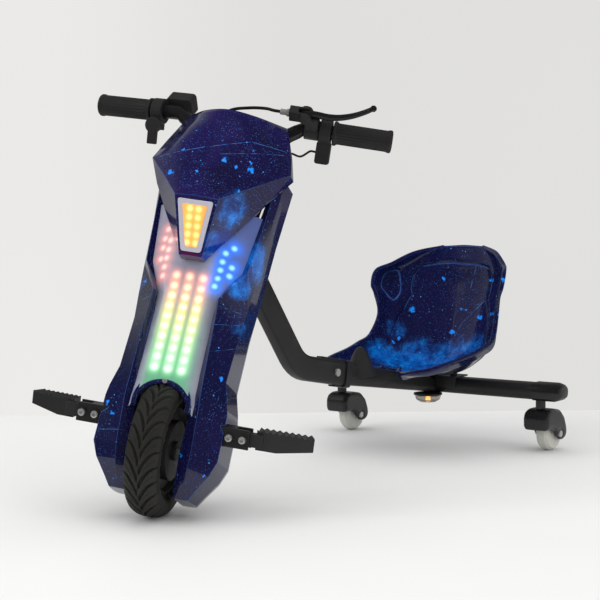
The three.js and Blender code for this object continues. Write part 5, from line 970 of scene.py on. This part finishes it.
# %% [markdown]
# ## The pommel
# In front of the seat a smooth hump keeps the rider from sliding forward. Its height follows one bell
# curve over an oval base, which gives the flared foot that the moulding has.

# %% Pommel
POMMEL = {"half": 23, "front": 86.2, "back": 164.2, "low": 152.1, "high": 204.0}


def build_pommel(material):
    rings, around = 26, 48
    middle = (POMMEL["front"] + POMMEL["back"]) / 2
    half_long = (POMMEL["back"] - POMMEL["front"]) / 2
    points = []
    for ring in range(rings):
        reach = 1 - ring / rings
        height = (1 - reach ** 2.2) ** 1.5
        for angle in circle(around):
            points.append((POMMEL["half"] * reach * math.cos(angle),
                           middle + half_long * reach * math.sin(angle),
                           POMMEL["low"] + (POMMEL["high"] - POMMEL["low"]) * height))
    points.append((0, middle, POMMEL["high"]))
    faces = grid_faces(rings, around, closed_columns=True)
    top = (rings - 1) * around
    faces += [(top + k, top + (k + 1) % around, len(points) - 1) for k in range(around)]
    faces.append(tuple(reversed(range(around))))
    piece("bell_pommel", points, faces, "frame", material, ["pommel"], 60)


build_pommel(moulded_black)

# %% [markdown]
# ## The bucket seat
# The seat is one moulded shell: a curved bowl that rises into two wings and a back, with its rim rolled
# outwards. The CAD shell has the right form with few faces. Here the same sections are sampled many times
# over, joined by smooth curves, and pressed with the grooves and the oval dish that the moulder added.

# %% Seat sections
SEAT = {"half": 151, "depth": 323.3, "height": 243, "bottom": 130, "front": -218, "wall": 4, "lip": 5,
        "knee": 0.85}
SEAT_SECTIONS = (
    (.298, .988, .984, 1, 1, 1), (.563, .886, .938, .985, .905, 1), (.781, .788, .856, .966, .802, 1),
    (.905, .695, .807, .951, .7, 1), (.915, .655, .7, .932, .617, 1), (.872, .655, .626, .917, .543, 1),
    (.83, .664, .465, .886, .403, .8), (.858, .59, .309, .809, .113, .5), (.861, .468, .259, .732, .041, .2),
    (.834, .332, .222, .609, .027, 0), (.795, .117, .185, .471, .047, 0), (.709, .025, .156, .378, .068, 0),
    (.53, 0, .136, .317, .08, 0), (.331, .055, .115, .271, .093, 0), (.166, .178, .108, .24, .1, 0),
)
SEAT_PLACE = Vector((0, 380.6, 0.062))


def seat_surface_point(place, across_share):
    x, y, z, middle_y, middle_z, back = curve_through(SEAT_SECTIONS, place)
    rim = Vector((x * SEAT["half"], SEAT["front"] + y * SEAT["depth"], SEAT["bottom"] + z * SEAT["height"]))
    middle = Vector((0, SEAT["front"] + middle_y * SEAT["depth"], SEAT["bottom"] + middle_z * SEAT["height"]))
    knee_y = (middle.y * (1 + back) + rim.y * (1 - back)) / 2
    knee = Vector((rim.x * SEAT["knee"], knee_y, (middle.z * (2 - back) + rim.z * back) / 2))
    t = abs(across_share)
    point = middle * (1 - t) ** 2 + knee * 2 * t * (1 - t) + rim * t * t
    point.x = math.copysign(point.x, across_share)
    return point


# %% Seat grooves
GROOVE = {"depth": 3.6, "half": 0.028, "step": 1.2, "dish": 2.6}
PRESSED = {"shift": 0.05, "half": 0.44, "wider": 0.20, "top": 1.5, "low": 7.4, "slope": 0.10}
OVAL = {"across": 0.745, "place": 4.0, "half": 0.15, "long": 1.5}


def seat_press(place, across_share):
    """Depth in millimetres pressed into the visible side of the shell at this place."""
    inward = abs(across_share + PRESSED["shift"])
    side = PRESSED["half"] + PRESSED["wider"] * ease(place, 4.6, 6.6)
    arch = PRESSED["top"] + 0.5 * (inward / PRESSED["half"]) ** 2
    panel = max(inward - side, (arch - place) * PRESSED["slope"], (place - PRESSED["low"]) * PRESSED["slope"])
    depth = GROOVE["depth"] * ease(abs(panel), GROOVE["half"], 0) * ease(place, 7.2, 6.4)
    depth += GROOVE["step"] * ease(panel, -0.02, 0.03) * ease(place, 6.6, 5.0)
    oval = math.hypot((abs(across_share) - OVAL["across"]) / OVAL["half"],
                      (place - OVAL["place"]) / OVAL["long"])
    return depth + GROOVE["dish"] * ease(oval, 1.0, 0.88)


# %% Seat shell
def seat_ranges(columns, rows):
    """Place and share of each point of the shell, kept back from the edge by the radius of the rolled lip."""
    last = len(SEAT_SECTIONS) - 1
    top_step = (seat_surface_point(0, 0) - seat_surface_point(1, 0)).length
    first = SEAT["lip"] / top_step
    spots = []
    for i in range(rows):
        place = first + (last - first) * i / (rows - 1)
        marks = [seat_surface_point(place, k / 12) for k in range(13)]
        arc = sum((b - a).length for a, b in zip(marks, marks[1:]))
        rim_run = seat_surface_point(min(place + 0.1, last), 1) - seat_surface_point(max(place - 0.1, 0), 1)
        slant = (marks[-1] - marks[-2]).normalized().cross(rim_run.normalized()).length
        lipped = ease(marks[-1].x, 20, 34)
        reach = 1 - lipped * SEAT["lip"] / arc / max(slant, 0.3)
        spots.append([(place, reach * (-1 + 2 * j / (columns - 1))) for j in range(columns)])
    return spots


def build_seat(material):
    rows, columns = 141, 153
    spots = seat_ranges(columns, rows)
    surface = [[seat_surface_point(*spot) for spot in row] for row in spots]
    low_i, low_j = rows * 2 // 3, columns // 2
    across = surface[low_i][low_j + 1] - surface[low_i][low_j - 1]
    along = surface[low_i + 1][low_j] - surface[low_i - 1][low_j]
    under_side = -math.copysign(1, across.cross(along).z)
    loop = rim_of(rows, columns)
    points = [p.copy() for row in surface for p in row]
    faces = grid_faces(rows, columns)
    bends = []
    for k, (i, j) in enumerate(loop):
        edge = surface[i][j]
        near_i, near_j = min(max(i, 2), rows - 3), min(max(j, 2), columns - 3)
        outward = (surface[near_i][near_j + 2] - surface[near_i][near_j - 2]).cross(
            surface[near_i + 2][near_j] - surface[near_i - 2][near_j]).normalized() * under_side
        (a, b), (c, d) = loop[k - 3], loop[(k + 3) % len(loop)]
        run = (surface[c][d] - surface[a][b]).normalized()
        rise = run.cross(outward).normalized()
        rise *= math.copysign(1, rise.dot(edge - surface[near_i][near_j]))
        free = 1 if edge.y > -130 else ease(abs(edge.x), 18, 34)
        turn = math.pi * (0.7 + 0.3 * ease(edge.z, 230, 200))
        bends.append((edge, rise, outward, turn * max(free, 0.06)))
    bends = settled(bends)

    def on_bend(bend, angle, reach=0.0):
        edge, rise, outward, whole = bend
        point = edge + rise * SEAT["lip"] * math.sin(angle) + outward * SEAT["lip"] * (1 - math.cos(angle))
        return point + (rise * math.cos(whole) + outward * math.sin(whole)) * reach

    ring = [i * columns + j for i, j in loop]
    steps = 8
    for step in range(1, steps + 2):
        start = len(points)
        for bend in bends:
            if step <= steps:
                points.append(on_bend(bend, bend[3] * step / steps))
            else:
                drop = 10 * ease(bend[0].z, 215, 195) * ease(bend[3], math.pi / 2, math.pi)
                points.append(on_bend(bend, bend[3], 2 + drop))
        following = list(range(start, start + len(bends)))
        for k in range(len(bends)):
            after = (k + 1) % len(bends)
            faces.append((ring[k], following[k], following[after], ring[after]))
        ring = following
    low = low_i * columns + low_j
    close_shell(points, faces, ring, [spot for row in spots for spot in row], low, material)


def settled(bends, spread=9):
    """The same bends with each direction averaged over its neighbours, so that corners turn gently."""
    count = len(bends)
    even = []
    for k, bend in enumerate(bends):
        near = [bends[(k + step) % count] for step in range(-spread, spread + 1)]
        up = sum((other[1] for other in near), Vector()).normalized()
        out = sum((other[2] for other in near), Vector())
        out = (out - up * out.dot(up)).normalized()
        even.append((bend[0], up, out, sum(other[3] for other in near) / len(near)))
    return even


def close_shell(points, faces, ring, spots, low, material):
    """Give the sheet a wall on its under side and press the grooves into the side that shows."""
    normals = [Vector() for _ in points]
    for a, b, c, d in faces:
        normal = (points[c] - points[a]).cross(points[d] - points[b])
        normal.normalize()
        for corner in (a, b, c, d):
            normals[corner] += normal
    side = -math.copysign(1, normals[low].z)
    normals = [n.normalized() * side for n in normals]
    count = len(points)
    under = [p + n * SEAT["wall"] for p, n in zip(points, normals)]
    for k, spot in enumerate(spots):
        points[k] = points[k] + normals[k] * seat_press(*spot)
    whole = [tuple(reversed(face)) for face in faces] + [tuple(v + count for v in face) for face in faces]
    whole += [(a, b, b + count, a + count) for a, b in zip(ring, ring[1:] + ring[:1])]
    placed = [p + SEAT_PLACE for p in points + under]
    piece("moulded_seat_shell", placed, whole, "frame", material, ["seat"], 50)


build_seat(seat_paint)

# %% [markdown]
# ## The tyre
# A small scooter tyre has a directional tread: hooked grooves run from near the middle to the shoulders,
# half a step apart on the two sides, with thin cuts between them. The tyre is a ring of closely spaced
# points, and each point of the tread is lowered by how near it is to a groove.

# %% Tread pattern
TYRE = {"radius": 100, "clear": 0.12, "around": 480, "rib": 0.35}
TYRE_MARKS = ((18, 66), (23.5, 73), (25, 84), (23, 92), (16.5, 97), (8.5, 99.5), (0, 100), (-8.5, 99.5))
TYRE_STEPS = (3, 4, 5, 7, 7, 6)
BEAD = ((14, 70), (-14, 70))
TREAD = {"pairs": 26, "width": 3.4, "depth": 4.2, "run": 23.5, "sweep": 30, "inner": 1.5}


def tread_depth(angle, across):
    side = 0.5 if across < 0 else 0.0
    share = (abs(across) - TREAD["inner"]) / TREAD["run"]
    pitch = 2 * math.pi * TYRE["radius"] / TREAD["pairs"]
    place = angle * TYRE["radius"] - side * pitch
    depth = 0.0
    if -0.08 < share < 0.98:
        hook = 1 - max(share, 0)
        lead = TREAD["sweep"] * (1 - hook ** 2)
        slope = 2 * TREAD["sweep"] * hook / TREAD["run"]
        away = (place - lead + pitch / 2) % pitch - pitch / 2
        away /= math.hypot(1, slope)
        half = TREAD["width"] / 2 * (1.15 - 0.4 * share)
        depth = TREAD["depth"] * ease(abs(away), half + 0.5, half - 0.7) * ease(share, -0.08, 0.0)
    if 0.2 < share < 0.95:
        lead = TREAD["sweep"] * (1 - (1 - share) ** 2)
        away = (place - lead) % pitch - pitch / 2
        away /= math.hypot(1, 2 * TREAD["sweep"] * (1 - share) / TREAD["run"])
        depth = max(depth, 1.1 * ease(abs(away), 1.0, 0.2) * ease(share, 0.2, 0.3) * ease(share, 0.95, 0.8))
    return depth


# %% Tyre
def tyre_profile():
    """Half widths and radii from one bead over the crown to the other."""
    half = []
    for k, steps in enumerate(TYRE_STEPS):
        half += [curve_through(TYRE_MARKS, k + step / steps) for step in range(steps)]
    return [(-x, r) for x, r in half] + [(0, TYRE["radius"])] + [(x, r) for x, r in reversed(half)]


def build_tyre(material):
    profile = tyre_profile()
    points = []
    for angle in circle(TYRE["around"]):
        ring = []
        for across, radius in profile:
            rib = TYRE["rib"] * math.sin((radius - 70) * 1.6) if 71 < radius < 84 else 0
            lowered = TYRE["clear"] + tread_depth(angle, across)
            ring.append((across + math.copysign(rib, across), radius - lowered))
        for across, radius in ring + list(BEAD):
            points.append((across, radius * math.sin(angle), radius * math.cos(angle)))
    placed = [front_frame @ Vector((x, y, z + TYRE["radius"])) for x, y, z in points]
    columns = len(profile) + len(BEAD)
    grid = grid_faces(TYRE["around"], columns, closed_rows=True, closed_columns=True)
    faces = [tuple(reversed(face)) for face in grid]
    piece("treaded_tyre", placed, faces, "front_wheel", material, ["front_tyre"], 60)


build_tyre(tyre_rubber)

# %% [markdown]
# ## Grips
# The grips are rubber sleeves with fine ribs along them, a collar at each end and a closed tip. Between
# the collars the radius is a wave round the bar, four points to a rib, which gives ribs that catch light.

# %% Grips
GRIP = {"ribs": 24, "rib_depth": 1.6, "rib_start": 156, "rib_end": 228}
GRIP_PROFILE = (
    (148, 11.4), (148, 18), (148.8, 19), (152.2, 19), (153, 18.2), (154.5, 16.8), (157, 16.5),
    (229, 16.5), (231.5, 16.7), (233.5, 17.4), (235, 17.7), (237.4, 17.6), (238.9, 16.6), (239.6, 14),
    (239.7, 6),
)


def build_grip(name, side, material):
    frame_here = bar_end(side)
    around = GRIP["ribs"] * 4
    points = []
    for along, radius in GRIP_PROFILE:
        ribbed = GRIP["rib_start"] < along < GRIP["rib_end"]
        for angle in circle(around):
            dip = GRIP["rib_depth"] * (0.5 - 0.5 * math.cos(angle * GRIP["ribs"])) if ribbed else 0
            r = radius - dip
            points.append(frame_here @ Vector((side * along, r * math.cos(angle), r * math.sin(angle))))
    faces = tube_faces(len(GRIP_PROFILE), around)
    if side < 0:
        faces = [tuple(reversed(face)) for face in faces]
    piece(name + "_ribbed_grip", points, faces, "front_end", material, [name + "_grip"], 40)


build_grip("left", 1, grip_rubber)
build_grip("right", -1, grip_rubber)

# %% [markdown]
# ## Cords
# Two cords show: the brake cable, from the lever over the cowl and down inside the fairing to the brake
# plate, and the thin lead of the switch. Each is one smooth curve that starts and ends in the sockets of
# the CAD model, and its middle follows the photograph.

# %% Cords
BRAKE_CABLE = (
    (66.36, -174.35, 593.96), (60.39, -177.83, 595.11), (52.13, -182.66, 596.70), (36.72, -182.39, 600.5),
    (9.79, -191.08, 602.5), (-14.02, -211.11, 598.21), (-31.48, -235.51, 573.23),
    (-42.64, -250.44, 545.01), (-56.25, -268.32, 507.13), (-63.01, -293.46, 450.26),
    (-59.27, -322.24, 379.82), (-58.76, -343.71, 309.62), (-59.85, -353.09, 249.40),
    (-58.29, -353.48, 216.82), (-48.93, -353.93, 191.19), (-30.76, -378.43, 167.03),
    (-31.93, -381.18, 152.12), (-33.79, -381.58, 139.56),
)
SWITCH_LEAD = (
    (93.10, -127.99, 533.24), (88.84, -130.48, 534.06), (84.58, -132.97, 534.88), (75.19, -147.00, 526.5),
    (67.34, -161.65, 531.00), (61.18, -181.94, 527.55), (58.79, -206.15, 500.34),
    (61.32, -233.51, 440.06), (62.63, -259.98, 388.35), (58.82, -283.34, 354.74),
    (52.17, -300.43, 334.69), (37.12, -316.79, 319.48), (24.74, -328.44, 309.95),
    (25.28, -335.32, 294.19),
)


def smooth_route(route, steps=8):
    """Points on the curve that the CAD model's cord follows: centripetal, through every given point."""
    marks = [Vector(p) for p in route]
    marks = [marks[0] * 2 - marks[1]] + marks + [marks[-1] * 2 - marks[-2]]
    points = []
    for a, b, c, d in zip(marks, marks[1:], marks[2:], marks[3:]):
        gaps = [(q - p).length ** 0.5 for p, q in ((a, b), (b, c), (c, d))]
        start = ((b - a) / gaps[0] - (c - a) / (gaps[0] + gaps[1]) + (c - b) / gaps[1]) * gaps[1]
        end = ((c - b) / gaps[1] - (d - b) / (gaps[1] + gaps[2]) + (d - c) / gaps[2]) * gaps[1]
        for step in range(steps):
            t = step / steps
            straight = b * (2 * t ** 3 - 3 * t ** 2 + 1) + c * (3 * t ** 2 - 2 * t ** 3)
            points.append(straight + start * (t ** 3 - 2 * t ** 2 + t) + end * (t ** 3 - t ** 2))
    return points + [marks[-2]]


def build_cord(name, route, radius, node, body):
    points = smooth_route(route)
    curve = bpy.data.curves.new(name, "CURVE")
    curve.dimensions = "3D"
    curve.bevel_depth, curve.bevel_resolution, curve.use_fill_caps = radius / 1000, 4, True
    spline = curve.splines.new("POLY")
    spline.points.add(len(points) - 1)
    for mark, point in zip(spline.points, points):
        mark.co = (*(point / 1000), 1)
    spline.use_smooth = True
    obj = bpy.data.objects.new(name, curve)
    bpy.context.scene.collection.objects.link(obj)
    curve.materials.append(cord_sheath)
    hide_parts(node)
    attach(obj, body)


build_cord("brake_cable_sheath", BRAKE_CABLE, 2.5, "brake_cable", "front_end")
build_cord("switch_lead_sheath", SWITCH_LEAD, 1.7, "switch_lead", "front_end")

# %% [markdown]
# ## Screws
# A socket screw has a round head with a rolled edge and a six sided pocket. One function turns the
# outline of the head about its axis and closes the pocket's floor, and it serves every visible screw.

# %% Screws
SIDES = ((1, "left"), (-1, "right"))
ARCH_SCREW = {"place": (0, 177.6, 100.2), "radius": 3.4, "height": 1.8}
PEG_SCREW = {"across": (102, 122), "forward": -15.2, "sunk": 0.4, "up": 136, "radius": 5.4, "height": 3.0}
AXLE_SCREW = {"place": (245, 415.9, 31.6), "radius": 4.6, "height": 0.6, "pocket": 0.6}


def build_screw(name, place, axis, radius, height, body, pocket_share=0.5):
    up = Vector(axis).normalized()
    side = up.orthogonal().normalized()
    other = up.cross(side)
    profile = [(1.0, 0.0), (1.0, 0.55), (0.93, 0.82), (0.80, 0.97), (pocket_share * 1.12, 1.0),
               (pocket_share, 0.96), (pocket_share, 0.35)]
    around = 36
    points = []
    for k_ring, (share, level) in enumerate(profile):
        for angle in circle(around):
            r = radius * share
            if k_ring >= 5:
                r *= math.cos(math.pi / 6) / math.cos((angle % (math.pi / 3)) - math.pi / 6)
            outward = side * r * math.cos(angle) + other * r * math.sin(angle)
            points.append(Vector(place) + outward + up * height * level)
    piece(name, points, tube_faces(len(profile), around), body, plated_steel, (), 30)


face_out = -face_frame.col[1].to_3d()
front_out = -front_frame.col[1].to_3d()
build_screw("arch_screw", on_face(*ARCH_SCREW["place"]), face_out, ARCH_SCREW["radius"], ARCH_SCREW["height"],
            "front_end")
for side, name in SIDES:
    for k, across in enumerate(PEG_SCREW["across"]):
        forward = PEG_SCREW["forward"] + PEG_SCREW["sunk"]
        place = front_frame @ Vector((side * across, forward, PEG_SCREW["up"]))
        build_screw(f"{name}_peg_screw_{k + 1}", place, front_out, PEG_SCREW["radius"], PEG_SCREW["height"],
                    "front_end")
for side, name in SIDES:
    across, back, up = AXLE_SCREW["place"]
    place = (side * (across - AXLE_SCREW["height"]), back, up)
    build_screw(f"{name}_axle_screw", place, (side, 0, 0), AXLE_SCREW["radius"], AXLE_SCREW["height"],
                f"{name}_caster", AXLE_SCREW["pocket"])

# %% [markdown]
# ## Finishes for the CAD solids
# Solids whose shape is already right keep it. Their triangles are joined and shaded by angle with a small
# geometry node tree, which leaves the mesh itself alone, and each gets the finish of its real material.
# Some moulded housings are remade in small cells and relaxed, so that their corners turn round.

# %% Soft shading for CAD solids
def make_shading_tree(degrees):
    tree = bpy.data.node_groups.new(f"shade_by_{degrees}", "GeometryNodeTree")
    tree.interface.new_socket(name="Geometry", in_out="INPUT", socket_type="NodeSocketGeometry")
    tree.interface.new_socket(name="Geometry", in_out="OUTPUT", socket_type="NodeSocketGeometry")
    given, out = tree.nodes.new("NodeGroupInput"), tree.nodes.new("NodeGroupOutput")
    merge = tree.nodes.new("GeometryNodeMergeByDistance")
    merge.inputs["Distance"].default_value = 0.00002
    strip = tree.nodes.new("GeometryNodeRemoveAttribute")
    strip.inputs["Name"].default_value = "custom_normal"
    smooth = tree.nodes.new("GeometryNodeSetShadeSmooth")
    smooth.domain = "FACE"
    sharp = tree.nodes.new("GeometryNodeSetShadeSmooth")
    sharp.domain = "EDGE"
    angle = tree.nodes.new("GeometryNodeInputMeshEdgeAngle")
    small = tree.nodes.new("FunctionNodeCompare")
    small.data_type, small.operation = "FLOAT", "LESS_THAN"
    tree.links.new(angle.outputs[0], small.inputs[0])
    small.inputs[1].default_value = math.radians(degrees)
    for first, second in ((given, merge), (merge, strip), (strip, smooth), (smooth, sharp), (sharp, out)):
        tree.links.new(first.outputs[0], second.inputs[0])
    tree.links.new(small.outputs[0], sharp.inputs["Shade Smooth"])
    return tree


shading_trees = {degrees: make_shading_tree(degrees) for degrees in (15, 32)}


def dress(names, material, degrees=32):
    for name in names:
        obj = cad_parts[name]
        for place in obj.material_slots:
            place.material = material
        shade = obj.modifiers.new("shade by angle", "NODES")
        shade.node_group = shading_trees[degrees]
    print(material.name, len(names), "nodes")


def round_off(names, cell, passes):
    """Moulded parts: remake the skin in small cells and relax it, so that corners and edges turn round."""
    for name in names:
        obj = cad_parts[name]
        skin = obj.modifiers.new("even skin", "REMESH")
        skin.mode, skin.voxel_size, skin.use_smooth_shade = "VOXEL", cell / 1000, True
        relax = obj.modifiers.new("relax", "SMOOTH")
        relax.factor, relax.iterations = 0.5, passes


# %% Clear, glowing and other single finishes
def make_clear_dome():
    material, tree, shader = finish("clear_dome", {"Transmission Weight": 0.85, "IOR": 1.49})
    rings = tree.nodes.new("ShaderNodeTexWave")
    rings.wave_type, rings.rings_direction = "RINGS", "Z"
    centred = vector_calc(tree, "SUBTRACT", object_place(tree), (0.0, 0.351854, 0.0))
    feed(tree, centred, rings.inputs["Vector"])
    rings.inputs["Scale"].default_value = 130.0
    tone = colour_steps(tree, rings.outputs["Fac"], [(0.0, (0.92, 0.90, 0.84)), (1.0, (0.98, 0.96, 0.92))])
    feed(tree, tone, shader.inputs["Base Color"])
    feed(tree, fade(tree, rings.outputs["Fac"], 0.0, 1.0, 0.04, 0.14), shader.inputs["Roughness"])
    bump = tree.nodes.new("ShaderNodeBump")
    bump.inputs["Distance"].default_value = 0.0006
    feed(tree, rings.outputs["Fac"], bump.inputs["Height"])
    feed(tree, bump.outputs["Normal"], shader.inputs["Normal"])
    return material


def make_bulb():
    material, tree, shader = finish("amber_bulb", {"Emission Strength": 2.0})
    hot = speckle(tree, object_place(tree), 240.0, 2.0)
    glow = colour_steps(tree, hot, [(0.3, (1.0, 0.30, 0.02)), (0.7, (1.0, 0.62, 0.10))])
    feed(tree, glow, shader.inputs["Emission Color"])
    tone = colour_steps(tree, hot, [(0.3, (0.9, 0.5, 0.1)), (0.7, (1.0, 0.7, 0.2))])
    feed(tree, tone, shader.inputs["Base Color"])
    return material


milky_roller = solid_finish("milky_roller", (0.62, 0.62, 0.56), (0.72, 0.72, 0.68), 0.38, 300.0, 0.00004,
                            0.0010, 0.08, {"Subsurface Weight": 0.5, "Subsurface Radius": (0.008, 0.007, 0.005),
                                   "Coat Weight": 0.3})
board_green = solid_finish("lamp_board_green", (0.012, 0.075, 0.035), (0.10, 0.14, 0.08), 0.4, 1100.0,
                           0.00005, 0.0004, 0.08)
clear_dome, amber_bulb = make_clear_dome(), make_bulb()

# %% Dress the CAD solids
dress(["front_fairing", "rear_fairing"], body_paint, 15)
dress(["main_tube", "rear_tube", "frame_collar", "crossbar", "fork", "stem_clamp", "stem_cap", "seat_bracket",
       "left_peg_bracket", "right_peg_bracket"], powder_coat)
dress(["handlebar"], polished_black)
dress(["front_hub", "brake_plate"], moulded_black)
dress(["left_end_cap", "right_end_cap", "left_caster_hood", "right_caster_hood"], polished_black)
round_off(["left_caster_hood", "right_caster_hood"], 1.3, 40)
dress(["switch_housing", "switch_button", "brake_perch", "throttle_body", "throttle_lever", "left_footpeg",
       "right_footpeg", "tail_lamp_base", "battery_pack"], moulded_black)
round_off(["switch_housing", "throttle_body", "brake_perch"], 0.7, 5)
dress(["collar_bolt", "front_axle", "left_caster_axle", "right_caster_axle", "cable_adjuster"], plated_steel)
dress(["lower_bearing", "upper_bearing", "left_caster_stem", "right_caster_stem"], dark_steel)
dress(["motor_controller"], cast_alloy)
dress(["headlight_lens"], frosted_rim)
dress(["tail_lamp_dome"], clear_dome)
dress(["tail_lamp_bulb"], amber_bulb)
dress(["left_roller", "right_roller"], milky_roller)
dress(["centre_led_board", "left_led_board", "right_led_board", "headlight_board"], board_green)
plain = [n for n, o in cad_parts.items() if not any(m.name == "shade by angle" for m in o.modifiers)]
print("replaced nodes:", sorted(plain))

# %% [markdown]
# ## Floor, walls and light
# The trike stands on a white floor in front of a pale grey wall. The room is a square of walls that can
# be seen only from inside and only by the camera and in reflections, so it never darkens the object or
# hides it from behind. In reflections the walls are bright behind and to the left, with a low bright card
# on the right, and the floor is dimmed. Three soft lamps and an even sky give light at which a colour
# looks as written, and one small lamp also shows as a highlight.

# %% Floor and walls
FLOOR_TONE = (0.745, 0.745, 0.736)
WALL_TONE = (0.755, 0.750, 0.735)
ROOM_HALF, ROOM_TALL, FLOOR_HALF = 0.70, 3.0, 6
SQUARE = ((-1, -1), (1, -1), (1, 1), (-1, 1))


def stage_mesh(name, points, faces, material):
    mesh = bpy.data.meshes.new(name)
    mesh.from_pydata(points, [], faces)
    mesh.materials.append(material)
    obj = bpy.data.objects.new(name, mesh)
    bpy.context.scene.collection.objects.link(obj)
    return obj


def make_floor_finish():
    material, tree, shader = finish("studio_floor", {"Roughness": 0.55, "Specular IOR Level": 0.25})
    tone = speckle(tree, object_place(tree), 3.0, 2.0)
    low = [c * 0.985 for c in FLOOR_TONE]
    pale = colour_steps(tree, tone, [(0.35, low), (0.65, FLOOR_TONE)])
    mirrored = tree.nodes.new("ShaderNodeLightPath").outputs["Is Glossy Ray"]
    dimmed = blend_colour(tree, calc(tree, "MULTIPLY", mirrored, 0.40), pale, (0, 0, 0, 1))
    feed(tree, dimmed, shader.inputs["Base Color"])
    return material


def make_wall_finish():
    material, tree, shader = finish("studio_wall")
    glow = tree.nodes.new("ShaderNodeEmission")
    place = object_place(tree)
    tone = speckle(tree, place, 0.8, 1.0)
    low = [c * 0.97 for c in WALL_TONE]
    feed(tree, colour_steps(tree, tone, [(0.3, low), (0.7, WALL_TONE)]), glow.inputs["Color"])
    back = vector_calc(tree, "DOT_PRODUCT", place, (-math.sin(YAW), math.cos(YAW), 0.0))
    right = vector_calc(tree, "DOT_PRODUCT", place, (math.cos(YAW), math.sin(YAW), 0.0))
    bright = calc(tree, "MULTIPLY", fade(tree, back, -0.2, ROOM_HALF, 0.05, 0.5),
                  fade(tree, right, -0.1, ROOM_HALF, 0.9, 0.25))
    seen = tree.nodes.new("ShaderNodeSeparateXYZ")
    feed(tree, place, seen.inputs[0])
    bright = calc(tree, "MULTIPLY", bright, fade(tree, seen.outputs["Z"], 0.7, 2.0, 1.0, 0.2))
    low_down = fade(tree, seen.outputs["Z"], 0.36, 0.26, 0.0, 0.45)
    card = calc(tree, "MULTIPLY", fade(tree, right, 0.6, 0.69), low_down)
    bright = calc(tree, "ADD", bright, card)
    mirrored = tree.nodes.new("ShaderNodeLightPath").outputs["Is Glossy Ray"]
    # Seen directly, the wall is painted up to an eighth brighter towards the left: painted light falling on the
    # backdrop.
    lift = fade(tree, right, -0.62, 0.0, 1.125, 1.0)
    strength = calc(tree, "MULTIPLY_ADD", mirrored, calc(tree, "SUBTRACT", bright, lift), lift)
    feed(tree, strength, glow.inputs["Strength"])
    clear = tree.nodes.new("ShaderNodeBsdfTransparent")
    mix = tree.nodes.new("ShaderNodeMixShader")
    behind = tree.nodes.new("ShaderNodeNewGeometry").outputs["Backfacing"]
    feed(tree, behind, mix.inputs[0])
    tree.links.new(glow.outputs[0], mix.inputs[1])
    tree.links.new(clear.outputs[0], mix.inputs[2])
    tree.links.new(mix.outputs[0], tree.nodes["Material Output"].inputs["Surface"])
    return material


stage_mesh("floor", [(x * FLOOR_HALF, y * FLOOR_HALF, 0) for x, y in SQUARE], [(0, 1, 2, 3)],
           make_floor_finish())
spin = Matrix.Rotation(YAW, 4, "Z")
corners = [spin @ Vector((x * ROOM_HALF, y * ROOM_HALF, 0)) for x, y in SQUARE]
tops = [c + Vector((0, 0, ROOM_TALL)) for c in corners]
sides = [(k, k + 4, (k + 1) % 4 + 4, (k + 1) % 4) for k in range(4)]
wall = stage_mesh("wall", corners + tops, sides, make_wall_finish())
for ray in ("visible_diffuse", "visible_shadow", "visible_transmission", "visible_volume_scatter"):
    setattr(wall, ray, False)


# %% Lamps and sky
def soft_lamp(name, place, aim, size, power):
    data = bpy.data.lights.new(name, "AREA")
    data.shape, data.size, data.size_y, data.energy = "RECTANGLE", size[0], size[1], power
    lamp = bpy.data.objects.new(name, data)
    lamp.location = place
    lamp.rotation_euler = (Vector(aim) - Vector(place)).to_track_quat("-Z", "Y").to_euler()
    bpy.context.scene.collection.objects.link(lamp)
    lamp.visible_glossy = False


def mirrored_lamp(name, place, aim, size, power):
    """A small soft box that also shows in glossy surfaces, for the highlights on metal and rounded edges."""
    soft_lamp(name, place, aim, size, power)
    bpy.data.objects[name].visible_glossy = True


mirrored_lamp("key_box", (-1.9, -2.2, 1.9), (0, 0, 0.3), (0.3, 0.6), 6)
soft_lamp("overhead", (0.2, -0.3, 3.0), (0, 0, 0), (3.6, 3.6), 42)
soft_lamp("front_left", (-1.6, -2.6, 1.9), (0, -0.1, 0.3), (1.8, 1.8), 26)
soft_lamp("front_right", (3.0, -0.6, 1.6), (0, 0, 0.3), (1.6, 1.8), 20)


def make_sky():
    world = bpy.data.worlds.new("sky")
    bpy.context.scene.world = world
    world.use_nodes = True
    tree = world.node_tree
    ground = tree.nodes["Background"]
    ground.inputs["Color"].default_value = (1, 1, 1, 1)
    ground.inputs["Strength"].default_value = 0.84
    shown = tree.nodes.new("ShaderNodeBackground")
    shown.inputs["Color"].default_value = (*WALL_TONE, 1)
    path = tree.nodes.new("ShaderNodeLightPath")
    seen = most(tree, [path.outputs[f"Is {kind} Ray"] for kind in ("Camera", "Glossy", "Transmission")])
    strength = calc(tree, "MULTIPLY_ADD", path.outputs["Is Glossy Ray"], -0.94, 1.0)
    feed(tree, strength, shown.inputs["Strength"])
    mix = tree.nodes.new("ShaderNodeMixShader")
    feed(tree, seen, mix.inputs[0])
    tree.links.new(ground.outputs[0], mix.inputs[1])
    tree.links.new(shown.outputs[0], mix.inputs[2])
    tree.links.new(mix.outputs[0], tree.nodes["World Output"].inputs["Surface"])


make_sky()
